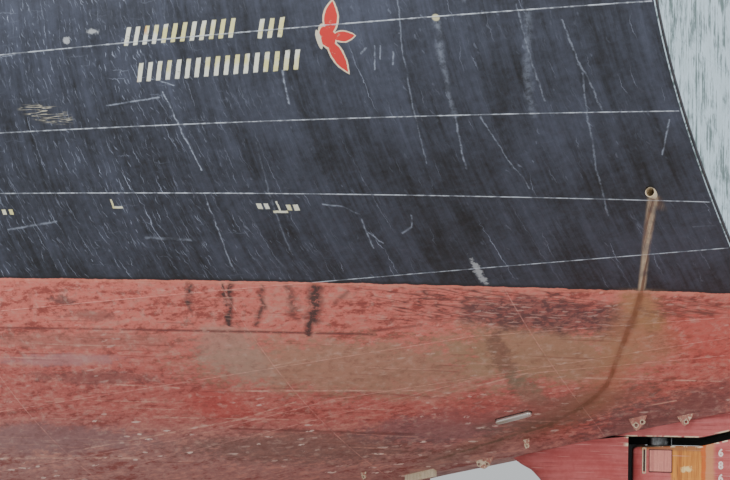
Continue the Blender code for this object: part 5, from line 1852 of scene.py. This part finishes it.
@dataclass
class Rudder:
    """Semi-spade rudder: horn, headbox, blade, stock, pintle and access cover."""

    stock_x: float = 12.20
    half: float = 0.42
    lead: float = 11.05
    tail: float = 14.45
    tail_half: float = 0.03
    fullness: float = 1.7
    top: float = -2.15
    bottom: float = -7.90
    knuckle: float = 13.0
    rise: float = 0.26
    gap: float = 0.13
    nose: float = 0.45
    corner: float = 0.09
    ease: float = 0.014
    recess: float = 0.57
    gudgeon_top: float = -4.45
    gudgeon_bottom: float = -5.15
    gudgeon_radius: float = 0.40
    stock_radius: float = 0.20
    stock_foot: float = -3.0997
    stock_head: float = -0.75
    stock_bore: float = 0.206
    pintle_radius: float = 0.17
    pintle_foot: float = -5.8997
    pintle_head: float = -4.41
    pintle_bore: float = 0.1718
    nose_sweep: float = 68.0  # degrees from the centreline to where the round nose ends
    notch_half: float = 0.385
    horn_shoulder: float = -2.75  # the horn's top is trimmed to the hull above this height
    horn_half: float = 0.412
    horn_widest: float = 11.2
    horn_edge: tuple[Point, ...] = (
        (-5.15, 10.92), (-4.45, 10.62), (-3.5, 10.28), (-2.77, 10.13),
        (-2.6, 9.95), (-2.51, 9.76), (-2.38, 9.56),
    )
    headbox: Point = (11.52, 14.30)
    fins: Point = (11.56, 14.10)
    fin_half: float = 0.008
    cover_at: Point = (12.36, -2.40)
    cover_size: Point = (0.38, 0.36)
    slot_at: Point = (12.085, -2.40)
    slot_size: Point = (0.035, 0.34)
    figure_x: float = 13.32
    figure_size: float = 0.16
    figure_count: int = 28
    figure_top: float = 6.0  # height over the keel of the highest figure
    figure_step: float = 0.2

    def foil(self, x: float) -> float:
        """Half-width of the rudder's foil at x."""
        if x < self.stock_x:
            share = min((self.stock_x - x) / (self.stock_x - self.lead), 1.0)
            return max(self.half * math.sqrt(1.0 - share**2), 0.004)
        share = (x - self.stock_x) / (self.tail - self.stock_x)
        return mix(self.tail_half, self.half, 1.0 - share**self.fullness)

    def line(self, x: float, level: float) -> float:
        """Height at x of a line that is level ahead of the knuckle and rises aft of it."""
        soft = 0.06
        over = x - self.knuckle
        lift = over if over > soft else max(over + soft, 0.0) ** 2 / (4 * soft)
        return level + self.rise * lift

    def round_nose(self, widest: float, lead: float, half: float) -> list[Point]:
        """Starboard side of an elliptical nose, from its leading edge to its widest place."""
        shares = [1.0 - (k / 24) ** 2 for k in range(25)]
        return [(mix(widest, lead, share), half * math.sqrt(max(1.0 - share**2, 0.0))) for share in shares]

    def loop(self, nose: Sequence[Point]) -> list[Point]:
        """Closed outline: a nose from the centreline out to starboard, the foil to its tail, and back."""
        start = nose[-1][0]
        xs = [mix(start, self.tail, (i / 30) ** 0.9) for i in range(1, 31)]
        half = [*nose, *((x, self.foil(x)) for x in xs)]
        return [*half, *((x, -y) for x, y in reversed(half) if y > 0.0)]

    def build(self) -> None:
        """Makes the rudder's pieces."""
        self.horn()
        self.head()
        self.gap_fins()
        self.blade()
        self.cover()
        self.numerals()
        for name, radius, low, high in (
            ("stock", self.stock_radius, self.stock_foot, self.stock_head),
            ("pintle", self.pintle_radius, self.pintle_foot, self.pintle_head),
        ):
            long, soft = high - low, 0.012
            profile = ((0.0, 0.0), (0.0, radius), (long - soft, radius), (long, radius - soft), (long, 0.0))
            bm = lathe(profile, upright(self.stock_x, 0.0, low))
            piece(f"{name}_turned", bm, STEEL, [f"rudder_{name}"], Body.RUDDER)

    def horn_outline(self, lead: float, concave: bool) -> list[Point]:
        """Horn's outline at one height, hollow or round at its after end."""
        if concave:
            ys = [self.horn_half * (1.0 - k / 12) for k in range(13)]
            end = [(self.stock_x - math.sqrt(self.recess**2 - y**2), y) for y in ys]
        else:
            r, turns = self.gudgeon_radius, [math.pi / 2 * (1.0 - k / 12) for k in range(13)]
            end = [(self.stock_x + r * math.cos(turn), r * math.sin(turn)) for turn in turns]
        half = self.round_nose(self.horn_widest, lead, self.horn_half) + end
        return [*half, *((x, -y) for x, y in reversed(half[1:-1]))]

    def horn(self) -> None:
        """Makes the horn down to its gudgeon."""
        under, shoulder = self.top + self.gap, self.horn_shoulder
        rings = []
        for z in spaced(self.gudgeon_top, under + 0.35, 60):
            loop = self.horn_outline(along_line(self.horn_edge, z), True)
            heights = [min(z, FORM.bottom_z(x) + SINK, under) if z > shoulder else z for x, _ in loop]
            rings.append([Vector((x, y, height)) for (x, y), height in zip(loop, heights)])
        upper = skin(rings)
        foot, soft = self.gudgeon_bottom, 0.02
        rings = []
        for z, inset in ((foot, soft), (foot + soft, 0.0), (-4.8, 0.0), (self.gudgeon_top, 0.0)):
            loop = self.horn_outline(along_line(self.horn_edge, z) + inset, False)
            pulled = [(x - inset if x > self.stock_x else x, y * (1.0 - inset)) for x, y in loop]
            rings.append([Vector((x, y, z)) for x, y in pulled])
        bore = lathe(rod(self.pintle_bore, 0.0, 1.3), upright(self.stock_x, 0.0, -5.5))
        piece("horn", gathered([upper, carved(skin(rings), [bore])]), HORN_RED, ["rudder_horn"])

    def head(self) -> None:
        """Makes the headbox between the hull and the gap over the blade."""
        under, soft = self.top + self.gap, 0.008
        start, end = self.headbox
        half = [(start, 0.0), (start, self.foil(start) * 0.5)]
        half += [(x, self.foil(x)) for x in spaced(start, end, 60)]
        half += [(end, self.foil(end) * 0.5), (end, 0.0)]
        loop = [*half, *((x, -y) for x, y in reversed(half[1:-1]))]
        rings = []
        steps = (0.0, soft, 0.0), (0.0, 0.0, soft), (0.25, 0.0, 0.0), (0.5, 0.0, 0.0), (1.0, 0.0, 0.0)
        for share, inset, step in steps:
            ring = []
            for x, y in loop:
                z = mix(self.line(x, under), FORM.bottom_z(x) + SINK, share) + step
                ring.append(Vector((x, y * (1.0 - inset / 0.3), z)))
            rings.append(ring)
        trunk = lathe(rod(self.stock_bore, 0.0, 1.5), upright(self.stock_x, 0.0, under - 0.2))
        piece("headbox", carved(skin(rings, True), [trunk]), HORN_RED, ["rudder_headbox"])

    def gap_fins(self) -> None:
        """Makes the thin plates that stand in the gap ahead of the stock and behind it, painted near-black
        as painted shade in the gap.
        """
        low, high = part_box("rudder_stock")
        start, end = self.fins
        push = Vector((0.0, self.fin_half, 0.0))
        for name, near, far in (("forward", start, low[0] - 0.008), ("aft", high[0] + 0.008, end)):
            xs = spaced(near, far, 24)
            upper = [Vector((x, 0.0, self.line(x, self.top + self.gap) + 0.02)) for x in xs]
            lower = [Vector((x, 0.0, self.line(x, self.top) + 0.014)) for x in reversed(xs)]
            fin = slab([point - push for point in (*upper, *lower)], push * 2.0)
            piece(f"gap_fin_{name}", fin, SHADE)

    def prism(self, loop: list[Point], low: float, high: float, tall: int) -> bmesh.types.BMesh:
        """Solid of one outline between two heights, with eased ends and rows of faces up its side."""
        levels = spaced(low + self.ease, high - self.ease, tall)
        made = [[Vector((x, y, z)) for x, y in loop] for z in levels]
        shrink = 1.0 - self.ease / self.half
        first, last = ([Vector((x, y * shrink, z)) for x, y in loop] for z in (low, high))
        return skin([first, *made, last], True)

    def blade(self) -> None:
        """Makes the blade: round nose over the gudgeon, notch round it, full foil below."""
        high, low = self.gudgeon_top + 0.10, self.gudgeon_bottom - 0.10
        turns = spaced(0.0, math.radians(self.nose_sweep), 16)
        upper = self.loop([(self.stock_x - self.nose * math.cos(t), self.nose * math.sin(t)) for t in turns])
        ys = spaced(0.0, self.notch_half, 16)
        middle = self.loop([(self.stock_x + math.sqrt(self.recess**2 - y**2), y) for y in ys])
        lower = self.loop(self.round_nose(self.stock_x, self.lead, self.half))
        parts = [
            self.round_top(upper, high), self.prism(middle, low - 0.02, high + 0.02, 8),
            self.prism(lower, self.bottom, low, 24),
        ]
        piece("blade", gathered(parts), BLADE_RED, ["rudder_blade"], Body.RUDDER)

    def round_top(self, loop: list[Point], foot: float) -> bmesh.types.BMesh:
        """Blade over the gudgeon, from a height up, with its corner rounded over the nose."""
        rings = [[Vector((x, y, foot)) for x, y in loop]]
        for step in spaced(0.0, 1.0, 24):
            turn = math.pi / 2 * max(step - 0.6, 0.0) / 0.4
            shrink = self.corner * (1.0 - math.cos(turn))
            thin = 1.0 - self.ease / self.half * (1.0 - math.cos(turn))
            ring = []
            for x, y in loop:
                share = between((12.7 - x) / 0.6, 0.0, 1.0)
                z = mix(foot, self.line(x, self.top) - self.corner, min(step / 0.6, 1.0))
                pull = 1.0 - shrink * share / max(math.hypot(x - self.stock_x, y), 0.2)
                z += self.corner * math.sin(turn)
                ring.append(Vector((mix(self.stock_x, x, pull), y * pull * thin, z)))
            rings.append(ring)
        return skin(rings, True)

    def side_point(self, x: float, z: float, out: float) -> Vector:
        """Point off the blade's port face."""
        slope = (self.foil(x + STRIDE) - self.foil(x - STRIDE)) / (2 * STRIDE)
        return Vector((x, -self.foil(x), z)) + Vector((-slope, -1.0, 0.0)).normalized() * out

    def patch(self, at: Point, size: Point, out: float, thick: float) -> bmesh.types.BMesh:
        """Small curved plate on the blade's port side.

        Args:
            at: (x, z) of its middle.
            size: its length and height.
            out: how far its outer face stands off the blade.
            thick: its thickness.

        Returns:
            The closed plate.
        """

        def place(u: float, v: float) -> Vector:
            """Point of its outer face."""
            return self.side_point(at[0] + size[0] * (u - 0.5), at[1] + size[1] * (v - 0.5), out)

        return sheet(10, 8, place, Vector((0.0, -1.0, 0.0)), thick)

    def cover(self) -> None:
        """Makes the access cover, the slot beside it and their weld rims; the slot is a thin plate painted
        dark, as painted shade inside the slot.
        """
        (x, z), (long, tall) = self.cover_at, self.cover_size
        bm = self.patch(self.cover_at, (long - 0.02, tall - 0.02), 0.0143, 0.0143)
        piece("access_cover", bm, COVER_PAINT, ["rudder_access_cover"], Body.RUDDER)
        off_x, off_z = long / 2 - 0.005, tall / 2 - 0.005
        rims = [self.patch((x, z + off), (long, 0.016), 0.01, 0.012) for off in (off_z, -off_z)]
        rims += [self.patch((x + off, z), (0.014, tall), 0.01, 0.012) for off in (off_x, -off_x)]
        piece("access_cover_weld", gathered(rims), DARK_GAP, body=Body.RUDDER)
        x, z = self.slot_at
        # The slot is a thin plate painted dark: painted shade for the inside of the slot
        slot = self.patch(self.slot_at, self.slot_size, 0.003, 0.006)
        piece("blade_slot", slot, DARK_GAP, body=Body.RUDDER)
        rims = [self.patch((x + off, z), (0.014, 0.4), 0.007, 0.01) for off in (-0.025, 0.025)]
        rims += [self.patch((x, z + off), (0.06, 0.014), 0.007, 0.01) for off in (-0.2, 0.2)]
        piece("blade_slot_weld", gathered(rims), CREAM, body=Body.RUDDER)

    def figure(self, text: str) -> bpy.types.Mesh:
        """Flat mesh of a draught figure."""
        curve = bpy.data.curves.new("figure", "FONT")
        curve.body = text
        curve.size = self.figure_size
        curve.offset = 0.007
        curve.align_x = "CENTER"
        curve.extrude = 0.0012
        holder = bpy.data.objects.new("figure", curve)
        bpy.context.scene.collection.objects.link(holder)
        depsgraph = bpy.context.evaluated_depsgraph_get()
        mesh = bpy.data.meshes.new_from_object(holder.evaluated_get(depsgraph))
        bpy.data.objects.remove(holder)
        bpy.data.curves.remove(curve)
        return mesh

    def numerals(self) -> None:
        """Makes the draught figures, 0.1 m high and 0.2 m apart, down both faces of the blade."""
        parts = []
        for k in range(self.figure_count):
            up = self.figure_top - self.figure_step * k
            tenths = round(up * 10) % 10
            mesh = self.figure(f"{tenths or round(up)}")
            for side in Side:
                part = bmesh.new()
                part.from_mesh(mesh)
                bmesh.ops.remove_doubles(part, verts=part.verts[:], dist=MERGE)
                for vert in part.verts:
                    x = self.figure_x - side.value * vert.co.x * 0.9
                    spot = self.side_point(x, FORM.keel_z + up + vert.co.y, 0.0014 + vert.co.z)
                    vert.co = Vector((spot.x, -side.value * spot.y, spot.z))
                bmesh.ops.recalc_face_normals(part, faces=part.faces[:])
                parts.append(part)
            bpy.data.meshes.remove(mesh)
        piece("draught_figures", gathered(parts), WHITE_MARKS, body=Body.RUDDER)


@dataclass
class Lug:
    """One lifting lug under the hull, with its eyes as (distance aft, depth, radius)."""

    node: str
    sides: tuple[Side, ...]
    x: float
    off: float
    top: float
    depth: float
    foot: float
    eyes: tuple[tuple[float, float, float], ...]


@dataclass
class Fittings:
    """Scupper pipes, anodes, lifting lugs and the small ledge."""

    scupper_x: float = 13.86
    scupper_y: float = 5.2  # roughly where the pipe goes through the shell
    scupper_z: float = 1.17
    scupper_radius: float = 0.0715
    scupper_bore: float = 0.059
    anode_at: Point = (10.32, -1.76)
    anode_slope: float = 0.2115
    anode_half: float = 0.318
    anode_tall: float = 0.060
    anode_thick: float = 0.05
    lug_thick: float = 0.032
    cheek: float = 0.014
    cheek_out: float = 0.004
    lugs: tuple[Lug, ...] = (
        Lug(
            "lug_double_eye", tuple(Side), 12.07, 0.74, 0.34, 0.2, 0.14,
            ((-0.01, 0.115, 0.03), (0.095, 0.062, 0.026)),
        ),
        Lug("lug_headbox", tuple(Side), 12.79, 0.52, 0.3, 0.15, 0.1, ((0.03, 0.085, 0.024),)),
        Lug("lug_horn", (Side.PORT,), 10.2, 0.86, 0.12, 0.15, 0.07, ((0.015, 0.105, 0.018),)),
        Lug(
            "lug_aperture", (Side.PORT,), 9.28, 0.52, 0.38, 0.16, 0.2,
            ((-0.075, 0.085, 0.024), (0.075, 0.08, 0.024)),
        ),
        Lug("lug_counter", (Side.PORT,), 7.32, 1.14, 0.11, 0.12, 0.06, ((0.01, 0.08, 0.016),)),
    )

    def build(self) -> None:
        """Makes the fittings and paints the ledge."""
        for side in Side:
            self.scupper(side)
            self.anode(side)
        for lug in self.lugs:
            for side in lug.sides:
                self.lug(lug, side)
        repaint("aperture_ledge", CREAM)

    def anode(self, side: Side) -> None:
        """Makes one zinc anode: a bar with round ends, cast on a strap that is welded at both ends; the
        strap shows a little past the bar and is painted dark, as a painted shadow round the bar.
        """
        out, middle = FORM.normal(side, *self.anode_at), FORM.point(side, *self.anode_at)
        along = Vector((1.0, 0.0, self.anode_slope)).normalized()
        along = (along - out * along.dot(out)).normalized()
        up = out.cross(along)

        def stadium(more: float, foot: float) -> list[Vector]:
            """Outline with round ends, a little larger and a distance off the shell."""
            tall = self.anode_tall + more / 1.5
            length = self.anode_half + more - tall
            points = []
            for end in (1.0, -1.0):
                for turn in spaced(-math.pi / 2, math.pi / 2, 12):
                    a, b = end * (length + tall * math.cos(turn)), end * tall * math.sin(turn)
                    points.append(middle + along * a + up * b + out * foot)
            return points

        soft = 0.006
        bar = slab(stadium(0.0, soft), out * self.anode_thick, 0.012, 3)
        piece(f"anode_{side.tag}", bar, ZINC, [f"hull_anode_{side.tag}"])
        # The strap stands a little past the bar and is painted dark, as a painted shadow round the bar's
        # edge
        strap = slab(stadium(soft, -soft), out * 0.010, 0.002, 1)
        piece(f"anode_strap_{side.tag}", strap, DARK_GAP)

    def scupper(self, side: Side) -> None:
        """Makes the pipe's end with its rounded lip."""
        low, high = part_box(f"scupper_pipe_{side.tag}")
        inner, outer = sorted((abs(low[1]), abs(high[1])))
        long, r, bore = outer - inner, self.scupper_radius, self.scupper_bore
        place = crosswise(self.scupper_x, side.value * inner, self.scupper_z, side.value)
        lip = (long - 0.004, bore), (long, bore + 0.003), (long, r - 0.0035), (long - 0.006, r)
        wall = ((0.0, bore), *lip, (0.0, r))
        piece(f"scupper_{side.tag}", lathe(wall, place, 40, True), CREAM, [f"scupper_pipe_{side.tag}"])

    def lug(self, lug: Lug, side: Side) -> None:
        """Makes one lug on one side: a plate with round corners, its eyes and their cheek rings."""
        low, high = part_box(f"{lug.node}_{side.tag}")
        bottom, roof, y, thick = low[2], high[2], side.value * lug.off, self.lug_thick
        if lug.off < FORM.flat_half(lug.x):
            roof = min(FORM.bottom_z(lug.x), roof)
        outline = []
        for turn in spaced(0.0, math.pi, 16):
            share = max(math.sin(turn), 0.0) ** 0.75
            wide = mix(lug.top, lug.foot, share) / 2
            z = mix(roof + 0.01, bottom, share)
            outline.append(Vector((lug.x - wide * math.cos(turn), y - thick / 2, z)))
        plate = slab(outline, Vector((0.0, thick, 0.0)), 0.004)
        tools, cheeks = [], []
        edge = thick / 2 + self.cheek_out
        for along, down, radius in lug.eyes:
            spot = crosswise(lug.x + along, y, bottom + lug.depth - down)
            tools.append(lathe(rod(radius, -0.1, 0.1), spot, 28))
            rim = radius + self.cheek
            ring = ((-edge, radius), (-edge, rim), (edge, rim), (edge, radius))
            cheeks.append(lathe(ring, spot, 28, True))
        node = f"{lug.node}_{side.tag}"
        piece(f"{lug.node}_plate_{side.tag}", carved(plate, tools), LUG_PAINT, [node])
        piece(f"{lug.node}_cheeks_{side.tag}", gathered(cheeks), CREAM)


@dataclass
class Bulkhead:
    """The flat plate that closes the section forward."""

    def build(self) -> None:
        """Paints the plate."""
        repaint("forward_bulkhead", PRIMER)


@dataclass
class Studio:
    """Camera at the photograph's place, pale floor and soft light."""

    eye: tuple[float, float, float] = (21.917, -28.389, -2.727)
    heading: float = 28.355
    pitch: float = 7.374
    roll: float = 0.0303
    lens: float = 88.52

    def build(self) -> None:
        """Makes the camera, the floor and the lights."""
        psi, p = math.radians(self.heading), math.radians(self.pitch)
        look = Vector((-math.sin(psi) * math.cos(p), math.cos(psi) * math.cos(p), math.sin(p)))
        right = Vector((math.cos(psi), math.sin(psi), 0.0))
        up = right.cross(look)
        leaned_right = right * math.cos(self.roll) + up * math.sin(self.roll)
        leaned_up = up * math.cos(self.roll) - right * math.sin(self.roll)
        camera = bpy.data.cameras.new("camera")
        camera.lens = self.lens
        camera.sensor_width = 36.0
        camera.clip_end = 500.0
        holder = bpy.data.objects.new("camera", camera)
        turn = Matrix((leaned_right, leaned_up, -look)).transposed().to_4x4()
        holder.matrix_world = Matrix.Translation(self.eye) @ turn
        bpy.context.scene.collection.objects.link(holder)
        bpy.context.scene.camera = holder
        self.floor()
        self.lights()

    def floor(self) -> None:
        """Makes the plain pale floor."""
        bm = bmesh.new()
        bmesh.ops.create_grid(bm, x_segments=1, y_segments=1, size=120.0)
        bmesh.ops.translate(bm, verts=bm.verts[:], vec=(0.0, 0.0, FORM.keel_z))
        mesh = bpy.data.meshes.new("floor")
        bm.to_mesh(mesh)
        bm.free()
        paint = bpy.data.materials.new("pale floor")
        paint.use_nodes = True
        shader = paint.node_tree.nodes["Principled BSDF"]
        shader.inputs["Base Color"].default_value = (0.60, 0.59, 0.58, 1.0)
        shader.inputs["Roughness"].default_value = 0.9
        mesh.materials.append(paint)
        made = bpy.data.objects.new("floor", mesh)
        bpy.context.scene.collection.objects.link(made)

    def lights(self) -> None:
        """Makes an even sky, one broad soft light from the port quarter and a smaller one from astern."""
        world = bpy.data.worlds.new("soft sky")
        bpy.context.scene.world = world
        world.use_nodes = True
        sky = world.node_tree.nodes["Background"]
        sky.inputs["Color"].default_value = (0.93, 0.97, 1.0, 1.0)
        sky.inputs["Strength"].default_value = 0.68
        for name, place, aim, size, power in (
            ("broad light", (8.0, -42.0, 22.0), (8.0, 0.0, 0.0), 26.0, 15500.0),
            ("stern light", (46.0, -14.0, 14.0), (14.0, 0.0, 3.0), 14.0, 9000.0),
        ):
            lamp = bpy.data.lights.new(name, "AREA")
            lamp.shape = "DISK"
            lamp.size = size
            lamp.energy = power
            made = bpy.data.objects.new(name, lamp)
            made.location = place
            made.rotation_euler = (Vector(aim) - Vector(place)).to_track_quat("-Z", "Y").to_euler()
            bpy.context.scene.collection.objects.link(made)


FRAME: dict = {}


def main() -> None:
    """Builds the sub-assemblies in order."""
    logging.basicConfig(level=logging.INFO, format="%(message)s")
    FRAME.update(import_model())
    for assembly in (
        Studio(), ShellPlating(), Transom(), Bulkhead(), Deck(), Skeg(), Rudder(), Propeller(), Fittings(),
    ):
        assembly.build()


if __name__ == "__main__":
    main()
